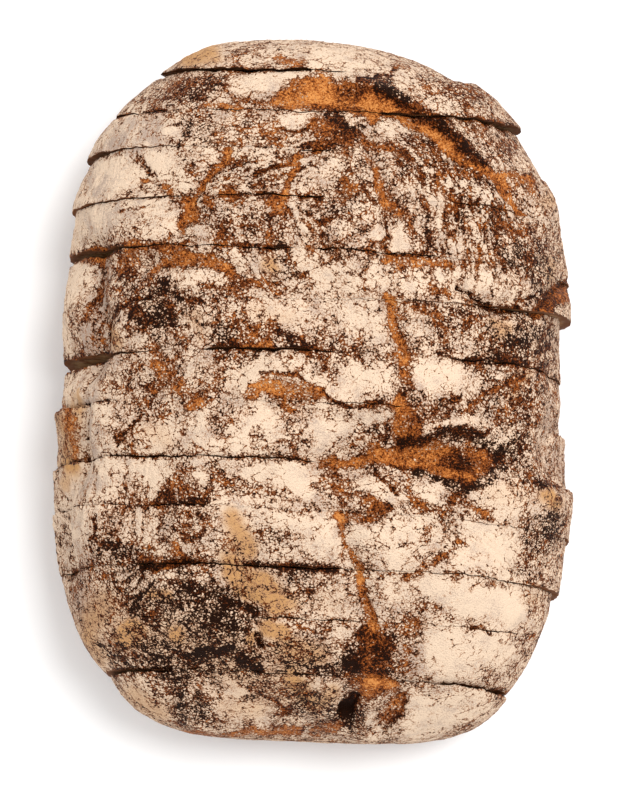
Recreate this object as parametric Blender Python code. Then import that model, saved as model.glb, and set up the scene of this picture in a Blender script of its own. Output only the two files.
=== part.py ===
"""A rustic sourdough loaf, cut across into slices that still stand together.

Run it with: blender --background --python part.py

The loaf lies along Y, with its widest line above the table, a flat underside on z = 0 and a domed crown.
Each slice is one closed solid, lofted from sections of the same loaf between two cuts. The stack of
slices leans towards +Y, every cut is turned a little about the vertical, and each slice has slipped a
little sideways. Sizes below are in millimetres and degrees, and the scene is in metres.
"""

import math
from typing import NamedTuple

import bmesh
import bpy
import numpy as np

MM = 0.001

# The whole loaf
HALF_LENGTH = 105.6
HALF_WIDTH = 77.0
CROWN_HEIGHT = 84.0
WIDEST_HEIGHT = 30.0
CROWN_FULLNESS = 2.6
BASE_SHARE = 0.86
CENTRE_SHIFT = (-0.07, 0.9)

# The level inside the loaf about which its slices lean
LEAN_LEVEL = 33.0

# How finely each slice is lofted
TOP_STEPS = 60
TUCK_STEPS = 4
BASE_STEPS = 6
ROWS = 6

# Uneven dough: long waves over the whole crust
LUMP_SEED = 7
LUMP_WAVES = 14
LUMP_LENGTHS = (20.0, 48.0)
LUMP_HEIGHT = 0.42
RELIEF_FADE = 12.0

CRUST_COLOUR = (0.46, 0.27, 0.16, 1.0)
CRUST_ROUGHNESS = 0.86
SLICE_TINT = 0.05
TINT_STEP = 2.4

# Edges that turn further than this are drawn sharp, such as where the crust meets a cut
SHARP_ANGLE_DEG = 40.0


class Cut(NamedTuple):
    """A cut across the loaf: its place on the middle line, how it is turned and leans, and its gape at each end."""

    station: float
    yaw_deg: float
    lean_deg: float
    gape_left: float
    gape_right: float


class Slice(NamedTuple):
    """How far a slice has slipped towards +X, how much wider it is on each side, and how blunt its outline is."""

    slip: float
    swell: float
    fullness: float


class Stroke(NamedTuple):
    """A ridge or a groove along a few points of the crust, seen from above, with its half width and height."""

    points: tuple
    half_width: float
    height: float


CUTS = (
    Cut(93.2, -1.9, 2.0, 1.1, 0.2),
    Cut(79.5, -1.6, 3.5, 0.5, 1.3),
    Cut(64.8, -3.1, 6.8, 1.3, 0.4),
    Cut(50.4, -1.7, 7.0, 0.8, 0.3),
    Cut(35.4, -2.7, 6.2, 1.8, 0.3),
    Cut(21.6, -1.0, 5.4, 0.4, 0.2),
    Cut(4.2, -1.6, 8.0, 3.0, 0.3),
    Cut(-11.2, -2.7, 8.5, 0.3, 0.5),
    Cut(-27.9, -2.8, 8.5, 0.2, 0.3),
    Cut(-41.8, -3.1, 8.2, 0.2, 0.2),
    Cut(-59.0, -2.3, 9.5, 0.2, 0.2),
    Cut(-73.9, -2.1, 10.0, 0.3, 0.3),
    Cut(-89.3, -2.9, 10.5, 1.2, 1.2),
)
NORTH_END = Cut(HALF_LENGTH, -3.6, 1.0, 0.0, 0.0)
SOUTH_END = Cut(-HALF_LENGTH, -2.0, 10.5, 0.0, 0.0)
CUT_GAP = 0.36
GAPE_START = 0.55

SLICES = (
    Slice(-0.4, -2.8, 2.6),
    Slice(2.2, 2.2, 2.6),
    Slice(0.7, 1.4, 2.6),
    Slice(1.7, 1.2, 2.6),
    Slice(2.3, 0.5, 2.6),
    Slice(2.0, 0.0, 2.6),
    Slice(0.0, -1.8, 2.6),
    Slice(0.0, -2.2, 3.4),
    Slice(-0.2, -0.2, 3.4),
    Slice(0.0, 1.6, 3.4),
    Slice(-0.8, 1.6, 3.4),
    Slice(-1.6, 0.2, 3.4),
    Slice(-1.6, 0.2, 3.4),
    Slice(-0.8, -7.6, 4.4),
)

# What the bake tore open and lifted, from the +Y end to the -Y end
STROKES = {
    "ear_split": Stroke(((-10, 86), (4, 87), (19, 84), (35, 77), (49, 65), (56, 61), (63, 53)), 5.0, -2.6),
    "ear_lip": Stroke(((13, 91), (22, 88), (30, 84), (38, 79), (44, 72), (50, 66)), 2.6, 3.4),
    "middle_tear": Stroke(((16, 75), (20, 60), (24, 44), (21, 29), (26, 9), (26, -3), (23, -17)), 2.6, -2.0),
    "west_tear": Stroke(((-25, 69), (-31, 62), (-35, 55), (-39, 47)), 2.8, -1.4),
    "west_arc": Stroke(((-58, 37), (-44, 37), (-32, 38), (-21, 34), (-8, 28)), 2.8, -1.5),
    "crescent": Stroke(((-19, -2), (-17, 2), (-11, 5), (-2, 3), (5, -2), (11, -5), (22, -5)), 3.6, 2.2),
    "crescent_foot": Stroke(((-18, -5), (-9, -6), (-3, -6)), 2.6, -1.6),
    "eye_split": Stroke(((2, -21), (14, -21), (26, -20), (49, -19), (57, -21)), 5.5, -3.2),
    "eye_lip": Stroke(((30, -13), (40, -10), (51, -12)), 2.4, 2.2),
    "south_tear": Stroke(((7, -36), (11, -46), (14, -55), (16, -65), (19, -76)), 3.0, -2.0),
    "south_hollow": Stroke(((12, -91), (11, -96)), 4.2, -4.6),
    "south_fold": Stroke(((26, -89), (20, -100)), 3.0, -2.6),
    "south_west_hollow": Stroke(((-26, -61), (-19, -62), (-16, -66), (-16, -74)), 3.4, -2.2),
    "east_fold": Stroke(((43, 30), (52, 24), (61, 25), (69, 27), (78, 33)), 3.0, -2.4),
    "west_crease_north": Stroke(((-65, 41), (-66, 29), (-62, 19), (-63, 12), (-67, 6)), 3.6, -3.8),
    "west_crease_south": Stroke(((-68, -6), (-67, -21), (-74, -33), (-76, -45), (-74, -54)), 3.6, -3.4),
    "east_crease": Stroke(((73, 4), (72, -3), (71, -15), (73, -27)), 3.4, -2.6),
}


def clear_scene():
    """Removes every object of the scene that Blender starts with."""
    for leftover in list(bpy.data.objects):
        bpy.data.objects.remove(leftover)


def section_share(station, fullness):
    """The loaf's width at a station, as a share of its full width."""
    reach = np.clip(np.abs(station) / HALF_LENGTH, 0.0, 1.0)
    return (1.0 - reach**fullness) ** (1.0 / fullness)


def out_share(across, station, fullness):
    """How far out a point lies: 0 at the middle of the loaf, 1 on its outline."""
    reach = np.clip(np.abs(station) / HALF_LENGTH, 0.0, 1.0) ** fullness
    return (reach + np.abs(across) ** fullness * (1.0 - reach)) ** (1.0 / fullness)


def crust_height(out):
    """Height of the crust above the table, on the crown side of the widest line."""
    rise = np.sqrt(np.clip(1.0 - out**CROWN_FULLNESS, 0.0, 1.0))
    return WIDEST_HEIGHT + (CROWN_HEIGHT - WIDEST_HEIGHT) * rise


def tuck_height(out):
    """Height of the underside: flat on the table, then a quarter round up to the widest line."""
    turn = np.clip((out - BASE_SHARE) / (1.0 - BASE_SHARE), 0.0, 1.0)
    return WIDEST_HEIGHT * (1.0 - np.sqrt(1.0 - turn**2))


def section_places():
    """Places round a section, as shares of its half width: over the crown first, then back along the base."""
    over = np.sin(np.linspace(-math.pi / 2, math.pi / 2, TOP_STEPS + 1))
    tuck = BASE_SHARE + (1.0 - BASE_SHARE) * np.cos(np.linspace(0.0, math.pi / 2, TUCK_STEPS + 1))
    base = np.linspace(BASE_SHARE, -BASE_SHARE, BASE_STEPS + 1)
    under = np.concatenate([tuck[1:], base[1:], -tuck[-2:0:-1]])
    return over, under


def distance_to_route(x, y, route):
    """Shortest distance from each point to a route of straight runs."""
    nearest = np.full(x.shape, np.inf)
    for (ax, ay), (bx, by) in zip(route[:-1], route[1:]):
        run = np.array([bx - ax, by - ay], float)
        share = ((x - ax) * run[0] + (y - ay) * run[1]) / (run @ run)
        share = np.clip(share, 0.0, 1.0)
        gap = np.hypot(x - ax - share * run[0], y - ay - share * run[1])
        nearest = np.minimum(nearest, gap)
    return nearest


def lumps(x, y):
    """A sum of long seeded sine waves, the unevenness of a loaf shaped by hand."""
    draw = np.random.default_rng(LUMP_SEED)
    total = np.zeros(x.shape)
    for _ in range(LUMP_WAVES):
        angle = draw.uniform(0.0, 2.0 * math.pi)
        length = draw.uniform(*LUMP_LENGTHS)
        phase = draw.uniform(0.0, 2.0 * math.pi)
        along = x * math.cos(angle) + y * math.sin(angle)
        total += np.sin(2.0 * math.pi * along / length + phase)
    return LUMP_HEIGHT * total


def relief(x, y):
    """How far the crust stands proud of the plain loaf: lumps, grooves and lips together."""
    total = lumps(x, y)
    for stroke in STROKES.values():
        spread = distance_to_route(x, y, stroke.points) / stroke.half_width
        total += stroke.height * np.exp(-(spread**2))
    return total


def cut_place(cut, side, across, x, z):
    """Y of a cut's face. Side is 1 for a face that looks towards +Y, -1 for one that looks towards -Y, 0 for an end."""
    left = np.clip((-across - GAPE_START) / (1.0 - GAPE_START), 0.0, 1.0) ** 2
    right = np.clip((across - GAPE_START) / (1.0 - GAPE_START), 0.0, 1.0) ** 2
    gape = CUT_GAP + cut.gape_left * left + cut.gape_right * right
    turned = math.tan(math.radians(cut.yaw_deg)) * x
    leaned = math.tan(math.radians(cut.lean_deg)) * (z - LEAN_LEVEL)
    return cut.station + turned + leaned - side * gape / 2


def outward(points):
    """Unit normals of a grid of points: rows along the loaf, columns round a closed section."""
    round_section = np.roll(points, -1, axis=1) - np.roll(points, 1, axis=1)
    along = np.gradient(points, axis=0)
    normals = np.cross(along, round_section)
    return normals / np.maximum(np.linalg.norm(normals, axis=2, keepdims=True), 1e-9)


def slice_rings(index):
    """The sections of one slice, as an array of rings of points. A heel's outer ring shrinks to one point."""
    first = index == 0
    last = index == len(SLICES) - 1
    shape = SLICES[index]
    north = NORTH_END if first else CUTS[index - 1]
    south = SOUTH_END if last else CUTS[index]
    share = np.linspace(0.0, 1.0, ROWS)
    if first:
        share = 1.0 - np.cos(share * math.pi / 2)
    if last:
        share = np.sin(share * math.pi / 2)
    share = share[:, None]

    over, under = section_places()
    across = np.concatenate([over, under])[None, :]
    is_top = np.arange(across.size)[None, :] < over.size
    station = north.station + (south.station - north.station) * share
    out = out_share(across, station, shape.fullness)
    x = shape.slip + (HALF_WIDTH + shape.swell) * section_share(station, shape.fullness) * across
    z = np.where(is_top, crust_height(out), tuck_height(out))

    def between_cuts(at_x, at_z):
        """Y of each point, the same share of the way from the slice's +Y face to its -Y face."""
        start = cut_place(north, 0 if first else 1, across, at_x, at_z)
        end = cut_place(south, 0 if last else -1, across, at_x, at_z)
        return start + (end - start) * share

    y = between_cuts(x, z)
    normals = outward(np.stack([x, y, z], axis=2))
    proud = relief(x, y) * is_top * np.clip((z - WIDEST_HEIGHT) / RELIEF_FADE, 0.0, 1.0)
    x = x + normals[:, :, 0] * proud
    z = z + normals[:, :, 2] * proud
    return np.stack([x, between_cuts(x, z), z], axis=2) + np.array([*CENTRE_SHIFT, 0.0])


def crust_material(name, index):
    """A baked crust finish, a touch lighter or darker from slice to slice."""
    tint = 1.0 + SLICE_TINT * math.sin(index * TINT_STEP)
    colour = [channel * tint for channel in CRUST_COLOUR[:3]] + [1.0]
    material = bpy.data.materials.new(name)
    material.use_nodes = True
    shader = material.node_tree.nodes["Principled BSDF"]
    shader.inputs["Base Color"].default_value = colour
    shader.inputs["Roughness"].default_value = CRUST_ROUGHNESS
    shader.inputs["Metallic"].default_value = 0.0
    material.diffuse_color = colour
    return material


def slice_mesh(name, rings, closed_north, closed_south):
    """A loft through the rings. An end that isn't rounded to a point is closed by one flat cut face."""
    shell = bmesh.new()
    rows = [[shell.verts.new(point) for point in ring] for ring in rings]
    if closed_north:
        rows[0] = [shell.verts.new(rings[0].mean(axis=0))] * len(rows[0])
    if closed_south:
        rows[-1] = [shell.verts.new(rings[-1].mean(axis=0))] * len(rows[-1])
    for row, next_row in zip(rows[:-1], rows[1:]):
        for column in range(len(row)):
            beside = (column + 1) % len(row)
            corners = (row[column], next_row[column], next_row[beside], row[beside])
            shell.faces.new(list(dict.fromkeys(corners)))
    if not closed_north:
        shell.faces.new(rows[0])
    if not closed_south:
        shell.faces.new(reversed(rows[-1]))
    loose = [vertex for vertex in shell.verts if not vertex.link_faces]
    bmesh.ops.delete(shell, geom=loose, context="VERTS")
    bmesh.ops.recalc_face_normals(shell, faces=shell.faces)
    mesh = bpy.data.meshes.new(name)
    shell.to_mesh(mesh)
    shell.free()
    mesh.shade_smooth()
    mesh.set_sharp_from_angle(angle=math.radians(SHARP_ANGLE_DEG))
    return mesh


def build_slice(index, loaf, collection):
    """One slice: its own solid, finish and object, placed by its middle on the table."""
    name = f"slice_{index + 1:02d}"
    rings = slice_rings(index)
    middle = (rings.reshape(-1, 3).min(axis=0) + rings.reshape(-1, 3).max(axis=0)) / 2
    middle[2] = 0.0
    first = index == 0
    last = index == len(SLICES) - 1
    mesh = slice_mesh(name, (rings - middle) * MM, first, last)
    mesh.materials.append(crust_material(f"crust_{index + 1:02d}", index))
    piece = bpy.data.objects.new(name, mesh)
    piece.location = middle * MM
    piece.parent = loaf
    collection.objects.link(piece)
    return piece


def main():
    """Clears the scene and builds the loaf, slice by slice, from its +Y end."""
    clear_scene()
    collection = bpy.data.collections.new("sourdough_loaf")
    bpy.context.scene.collection.children.link(collection)
    loaf = bpy.data.objects.new("loaf_origin", None)
    collection.objects.link(loaf)
    for index in range(len(SLICES)):
        build_slice(index, loaf, collection)


if __name__ == "__main__":
    main()
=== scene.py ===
"""Looks of a rustic sourdough loaf, cut across into slices that still stand together.

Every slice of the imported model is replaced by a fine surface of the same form. Its crust is a function of
two parameters, across the loaf and along it, and carries relief, flour, toasted tears and scorched skin.
Lengths are in millimetres until a mesh is written, and the marks on the crust are placed by the pixel of
the photograph that they show at, seen straight from above.
"""

from __future__ import annotations

import logging
import math
from dataclasses import dataclass, field
from enum import Enum

import bpy
import numpy as np
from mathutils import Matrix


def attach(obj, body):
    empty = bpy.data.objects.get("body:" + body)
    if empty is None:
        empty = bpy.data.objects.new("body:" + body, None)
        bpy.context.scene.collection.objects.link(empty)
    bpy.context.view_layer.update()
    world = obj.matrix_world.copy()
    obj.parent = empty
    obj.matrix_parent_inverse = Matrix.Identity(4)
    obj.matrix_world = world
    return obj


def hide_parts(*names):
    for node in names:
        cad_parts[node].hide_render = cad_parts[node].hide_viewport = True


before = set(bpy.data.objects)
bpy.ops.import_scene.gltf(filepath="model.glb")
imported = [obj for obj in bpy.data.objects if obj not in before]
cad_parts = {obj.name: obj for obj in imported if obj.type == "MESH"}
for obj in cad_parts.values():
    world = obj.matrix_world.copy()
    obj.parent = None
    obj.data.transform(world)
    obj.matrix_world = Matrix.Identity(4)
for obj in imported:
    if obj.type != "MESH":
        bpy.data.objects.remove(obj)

LOG = logging.getLogger("sourdough")
MM = 0.001
Colour = tuple[float, float, float, float]


def linear(red: float, green: float, blue: float) -> Colour:
    """Turns a display colour into a linear one.

    Args:
        red: red from 0 to 255.
        green: green from 0 to 255.
        blue: blue from 0 to 255.

    Returns:
        The linear colour, with an alpha of 1.
    """
    parts = [channel / 255.0 for channel in (red, green, blue)]
    bent = [part / 12.92 if part <= 0.04045 else ((part + 0.055) / 1.055) ** 2.4 for part in parts]
    return (bent[0], bent[1], bent[2], 1.0)


def smooth_step(value: np.ndarray, low: float, high: float) -> np.ndarray:
    """Rises smoothly from 0 at low to 1 at high.

    Args:
        value: the numbers to ease.
        low: where the rise starts.
        high: where it ends, which may lie below low for a fall.

    Returns:
        3t squared minus 2t cubed, where t is the clipped share of the way from low to high.
    """
    share = np.clip((value - low) / (high - low), 0.0, 1.0)
    return share * share * (3.0 - 2.0 * share)


def distance_to_path(x: np.ndarray, y: np.ndarray, path: np.ndarray) -> np.ndarray:
    """Shortest distance from each point to a path of straight runs.

    Args:
        x: places across.
        y: places along.
        path: the path's points, one a row.

    Returns:
        The distances.
    """
    nearest = np.full(x.shape, np.inf)
    for start, end in zip(path[:-1], path[1:]):
        run = end - start
        share = np.clip(((x - start[0]) * run[0] + (y - start[1]) * run[1]) / (run @ run), 0.0, 1.0)
        nearest = np.minimum(nearest, np.hypot(x - start[0] - share * run[0], y - start[1] - share * run[1]))
    return nearest


class Grain:
    """Seeded gradient noise in space."""

    entries: int = 256
    gain: float = 1.7
    octave_shift: float = 17.3

    def __init__(self, seed: int) -> None:
        """Draws the table of gradients.

        Args:
            seed: what the gradients are drawn from.
        """
        draw = np.random.default_rng(seed)
        arrows = draw.normal(size=(self.entries, 3))
        self.arrows = arrows / np.linalg.norm(arrows, axis=1, keepdims=True)
        self.order = draw.permutation(self.entries)

    def at(self, points: np.ndarray, cell: float) -> np.ndarray:
        """Noise of one size: gradients at the corners of a lattice, blended by a quintic curve.

        Args:
            points: an array of points, in millimetres, with x, y, z last.
            cell: the lattice's spacing.

        Returns:
            One number a point, about -1 to 1.
        """
        scaled = points / cell
        corner = np.floor(scaled).astype(np.int64)
        inside = scaled - corner
        ease = inside**3 * (inside * (inside * 6.0 - 15.0) + 10.0)
        total = np.zeros(points.shape[:-1])
        last = self.entries - 1
        for step in np.ndindex(2, 2, 2):
            near = (corner + step) & last
            column = (self.order[near[..., 0]] + near[..., 1]) & last
            index = self.order[(self.order[column] + near[..., 2]) & last]
            reach = ((inside - step) * self.arrows[index]).sum(axis=-1)
            share = np.where(np.asarray(step) == 1, ease, 1.0 - ease).prod(axis=-1)
            total += share * reach
        return total * self.gain

    def layers(self, points: np.ndarray, cell: float, octaves: int, keep: float = 0.5) -> np.ndarray:
        """Noise of several sizes, each half as large as the one before and keep times as strong.

        Args:
            points: an array of points, in millimetres.
            cell: the largest lattice's spacing.
            octaves: how many sizes.
            keep: how strong each is beside the one before.

        Returns:
            One number a point, about -1 to 1.
        """
        total = np.zeros(points.shape[:-1])
        weight = 1.0
        whole = 0.0
        for octave in range(octaves):
            total += weight * self.at(points + self.octave_shift * octave, cell / 2**octave)
            whole += weight
            weight *= keep
        return total / whole

    def veins(self, points: np.ndarray, cell: float, octaves: int) -> np.ndarray:
        """Thin branching lines: 1 minus twice the noise's size, so 1 where the noise changes sign.

        Args:
            points: an array of points, in millimetres.
            cell: the largest lattice's spacing.
            octaves: how many sizes.

        Returns:
            One number a point, up to 1.
        """
        return 1.0 - np.abs(self.layers(points, cell, octaves)) * 2.0


@dataclass(frozen=True)
class Cut:
    """A cut across the loaf: its place, how it is turned and leans, and how far it gapes at each end."""

    station: float
    yaw_deg: float
    lean_deg: float
    gape_left: float
    gape_right: float


@dataclass(frozen=True)
class Opening:
    """A stretch of a cut that shows, from pixel to pixel across, with half its gap in millimetres."""

    cut: int
    start: float
    end: float
    half_gap: float


@dataclass(frozen=True)
class SliceShape:
    """How far a slice has slipped towards +X, how much wider it is on each side, and how blunt it is."""

    slip: float
    swell: float
    fullness: float


@dataclass(frozen=True)
class Route:
    """A main ridge or groove of the crust: points in millimetres, half width and height."""

    points: tuple[tuple[float, float], ...]
    half_width: float
    height: float


@dataclass(frozen=True)
class Survey:
    """Where the photograph was taken from, which also places the marks read off it."""

    width: int = 617
    height: int = 800
    camera_x: float = -0.97
    camera_y: float = -2.1
    camera_z: float = 1200.0
    focal_px: float = 3868.0

    def seen(self, points: np.ndarray) -> tuple[np.ndarray, np.ndarray]:
        """The pixel that each point shows at, by similar triangles under the camera.

        Args:
            points: an array of points, in millimetres.

        Returns:
            Pixels across and down.
        """
        scale = self.focal_px / (self.camera_z - points[..., 2])
        across = self.width / 2.0 + (points[..., 0] - self.camera_x) * scale
        down = self.height / 2.0 - (points[..., 1] - self.camera_y) * scale
        return across, down


@dataclass(frozen=True)
class LoafForm:
    """The loaf's form, in the same words and sizes as its solids but for the gape of the cuts."""

    half_length: float = 105.6
    half_width: float = 77.0
    crown_height: float = 84.0
    widest_height: float = 30.0
    crown_fullness: float = 2.6
    base_share: float = 0.86
    lean_level: float = 33.0
    shift_x: float = -0.07
    shift_y: float = 0.9
    cut_gap: float = 0.36
    gape_start: float = 0.55
    lump_seed: int = 7
    lump_waves: int = 14
    lump_lengths: tuple[float, float] = (20.0, 48.0)
    lump_height: float = 0.42
    relief_fade: float = 12.0
    north_end: Cut = Cut(105.6, -3.6, 1.0, 0.0, 0.0)
    south_end: Cut = Cut(-105.6, -2.0, 10.5, 0.0, 0.0)
    cuts: tuple[Cut, ...] = (
        Cut(93.2, -1.9, 2.0, 0.9, 0.0),
        Cut(79.5, -1.6, 3.5, 0.3, 1.0),
        Cut(64.8, -3.1, 6.8, 0.8, 0.0),
        Cut(50.4, -1.7, 7.0, 0.1, 0.0),
        Cut(35.4, -2.7, 6.2, 1.6, 0.0),
        Cut(21.6, -1.0, 5.4, 0.0, 0.0),
        Cut(4.2, -1.6, 8.0, 3.0, 0.0),
        Cut(-11.2, -2.7, 8.5, 0.1, 0.0),
        Cut(-27.9, -2.8, 8.5, 0.0, 0.0),
        Cut(-41.8, -3.1, 8.2, 0.0, 0.0),
        Cut(-59.0, -2.3, 9.5, 0.0, 0.0),
        Cut(-73.9, -2.1, 10.0, 0.0, 0.0),
        Cut(-89.3, -2.9, 10.5, 0.9, 0.8),
    )
    slices: tuple[SliceShape, ...] = (
        SliceShape(-0.4, -2.8, 2.6),
        SliceShape(2.2, 2.2, 2.6),
        SliceShape(0.7, 1.4, 2.6),
        SliceShape(1.7, 1.2, 2.6),
        SliceShape(2.3, 0.5, 2.6),
        SliceShape(2.0, 0.0, 2.6),
        SliceShape(0.0, -1.8, 2.6),
        SliceShape(0.0, -2.2, 3.4),
        SliceShape(-0.2, -0.2, 3.4),
        SliceShape(0.0, 1.6, 3.4),
        SliceShape(-0.8, 1.6, 3.4),
        SliceShape(-1.6, 0.2, 3.4),
        SliceShape(-1.6, 0.2, 3.4),
        SliceShape(-0.8, -7.6, 4.4),
    )
    routes: tuple[Route, ...] = (
        Route(((-10, 86), (4, 87), (19, 84), (35, 77), (49, 65), (56, 61), (63, 53)), 5.0, -2.6),
        Route(((13, 91), (22, 88), (30, 84), (38, 79), (44, 72), (50, 66)), 2.6, 3.4),
        Route(((16, 75), (20, 60), (24, 44), (21, 29), (26, 9), (26, -3), (23, -17)), 2.6, -2.0),
        Route(((-25, 69), (-31, 62), (-35, 55), (-39, 47)), 2.8, -1.4),
        Route(((-58, 37), (-44, 37), (-32, 38), (-21, 34), (-8, 28)), 2.8, -1.5),
        Route(((-19, -2), (-17, 2), (-11, 5), (-2, 3), (5, -2), (11, -5), (22, -5)), 3.6, 2.2),
        Route(((-18, -5), (-9, -6), (-3, -6)), 2.6, -1.6),
        Route(((2, -21), (14, -21), (26, -20), (49, -19), (57, -21)), 5.5, -3.2),
        Route(((30, -13), (40, -10), (51, -12)), 2.4, 2.2),
        Route(((7, -36), (11, -46), (14, -55), (16, -65), (19, -76)), 3.0, -2.0),
        Route(((12, -91), (11, -96)), 4.2, -4.6),
        Route(((26, -89), (20, -100)), 3.0, -2.6),
        Route(((-26, -61), (-19, -62), (-16, -66), (-16, -74)), 3.4, -2.2),
        Route(((43, 30), (52, 24), (61, 25), (69, 27), (78, 33)), 3.0, -2.4),
        Route(((-65, 41), (-66, 29), (-62, 19), (-63, 12), (-67, 6)), 3.6, -3.8),
        Route(((-68, -6), (-67, -21), (-74, -33), (-76, -45), (-74, -54)), 3.6, -3.4),
        Route(((73, 4), (72, -3), (71, -15), (73, -27)), 3.4, -2.6),
    )

    def section_share(self, station: np.ndarray, fullness: float) -> np.ndarray:
        """The loaf's width at a station as a share of its full width: a superellipse of that fullness."""
        reach = np.clip(np.abs(station) / self.half_length, 0.0, 1.0)
        return (1.0 - reach**fullness) ** (1.0 / fullness)

    def out_share(self, across: np.ndarray, station: np.ndarray, fullness: float) -> np.ndarray:
        """How far out a point lies on the same superellipse: 0 in the middle, 1 on the outline."""
        reach = np.clip(np.abs(station) / self.half_length, 0.0, 1.0) ** fullness
        return (reach + np.abs(across) ** fullness * (1.0 - reach)) ** (1.0 / fullness)

    def crust_height(self, out: np.ndarray) -> np.ndarray:
        """Height of the crown above the widest line: the root of 1 minus out to the crown's fullness."""
        rise = np.sqrt(np.clip(1.0 - out**self.crown_fullness, 0.0, 1.0))
        return self.widest_height + (self.crown_height - self.widest_height) * rise

    def tuck_height(self, out: np.ndarray) -> np.ndarray:
        """Height of the underside: flat, then a quarter round up to the widest line."""
        turn = np.clip((out - self.base_share) / (1.0 - self.base_share), 0.0, 1.0)
        return self.widest_height * (1.0 - np.sqrt(1.0 - turn**2))

    def cut_place(self, cut: Cut, side: int, across: np.ndarray, x: np.ndarray, z: np.ndarray) -> np.ndarray:
        """Y of a cut's face: a leaning, turned plane that draws back where the cut gapes.

        Args:
            cut: the cut.
            side: 1 for a face that looks towards +Y, -1 towards -Y, 0 for the loaf's own end.
            across: places across the slice, from -1 to 1.
            x: X of the points.
            z: Z of the points.

        Returns:
            Y of each point.
        """
        left = np.clip((-across - self.gape_start) / (1.0 - self.gape_start), 0.0, 1.0) ** 2
        right = np.clip((across - self.gape_start) / (1.0 - self.gape_start), 0.0, 1.0) ** 2
        gape = self.cut_gap + cut.gape_left * left + cut.gape_right * right
        turned = math.tan(math.radians(cut.yaw_deg)) * x
        leaned = math.tan(math.radians(cut.lean_deg)) * (z - self.lean_level)
        return cut.station + turned + leaned - side * gape / 2.0

    def lumps(self, x: np.ndarray, y: np.ndarray) -> np.ndarray:
        """The unevenness of a loaf shaped by hand: a sum of long seeded sine waves.

        Args:
            x: places across.
            y: places along.

        Returns:
            Heights in millimetres.
        """
        draw = np.random.default_rng(self.lump_seed)
        total = np.zeros(x.shape)
        for _ in range(self.lump_waves):
            angle = draw.uniform(0.0, 2.0 * math.pi)
            length = draw.uniform(*self.lump_lengths)
            phase = draw.uniform(0.0, 2.0 * math.pi)
            along = x * math.cos(angle) + y * math.sin(angle)
            total += np.sin(2.0 * math.pi * along / length + phase)
        return self.lump_height * total

    def main_relief(self, x: np.ndarray, y: np.ndarray) -> np.ndarray:
        """Lumps with every main ridge and groove on them, each a bell curve across its route.

        Args:
            x: places across.
            y: places along.

        Returns:
            Heights in millimetres.
        """
        total = self.lumps(x, y)
        for route in self.routes:
            spread = distance_to_path(x, y, np.asarray(route.points, float)) / route.half_width
            total += route.height * np.exp(-(spread**2))
        return total


@dataclass(frozen=True)
class Touch:
    """What one kind of mark does to the crust. Height is in millimetres, the rest are shares."""

    flour: float = 0.0
    toast: float = 0.0
    # char darkens the bare crust: real scorching, and also painted shade in cracks, folds, pits and beside
    # open cuts
    char: float = 0.0
    cream: float = 0.0
    tan: float = 0.0
    height: float = 0.0
    crag: float = 0.0
    pleat: float = 0.0
    pleat_size: float = 1.0
    soft: float = 0.6


class Kind(Enum):
    """The kinds of mark on the crust."""

    TEAR = Touch(flour=-0.68, toast=0.26, height=-0.35, soft=0.5)
    GOLD = Touch(toast=0.14, soft=0.8)
    AMBER = Touch(flour=-0.42, toast=0.25, soft=0.6)
    RUST = Touch(flour=-0.34, toast=0.1, crag=0.1, soft=0.7)
    BROWN = Touch(flour=-0.8, toast=0.08, soft=0.5)
    SCORCH = Touch(flour=-0.55, char=0.45, crag=0.1, soft=0.65)
    SHADE = Touch(toast=-0.3, char=0.12, soft=0.9)
    SOOT = Touch(flour=-0.2, char=0.42, crag=0.15, soft=0.9)
    SPECK = Touch(flour=-0.13, crag=0.25, soft=0.9)
    # painted shade: a crack loses flour and goes dark, standing for shade in the crease as well as bare crust
    CRACK = Touch(flour=-0.75, char=0.3, height=-0.5, soft=0.6)
    HEAP = Touch(flour=0.3, cream=0.22, crag=-0.2, height=0.15, soft=0.6)
    DUST = Touch(flour=0.2, cream=0.15, crag=-0.08, soft=0.9)
    TAN = Touch(flour=0.08, tan=0.85, soft=0.9)
    GREY = Touch(cream=-0.55, soft=0.95)
    # partly painted shade: pleats and streaks thin the flour in their sunken folds, partly bare crust and
    # partly shade
    PLEAT = Touch(pleat=1.7, soft=0.9)
    STREAK = Touch(pleat=1.15, pleat_size=0.6, soft=0.95)
    # painted shade: a fold goes bare and dark, standing for shade in the fold as well as bare crust
    FOLD = Touch(flour=-0.6, char=0.45, height=-1.2, soft=0.7)
    # painted shade: a pit sinks and goes black, standing for the shade inside it
    PIT = Touch(flour=-1.2, char=1.0, height=-3.0, soft=0.5)


@dataclass(frozen=True)
class Mark:
    """One mark: its name, kind and points with a radius, (across, down, radius) in photograph pixels."""

    name: str
    kind: Kind
    points: tuple[tuple[float, float, float], ...]
    strength: float = 1.0


# A short name for the list of marks
K = Kind

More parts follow.
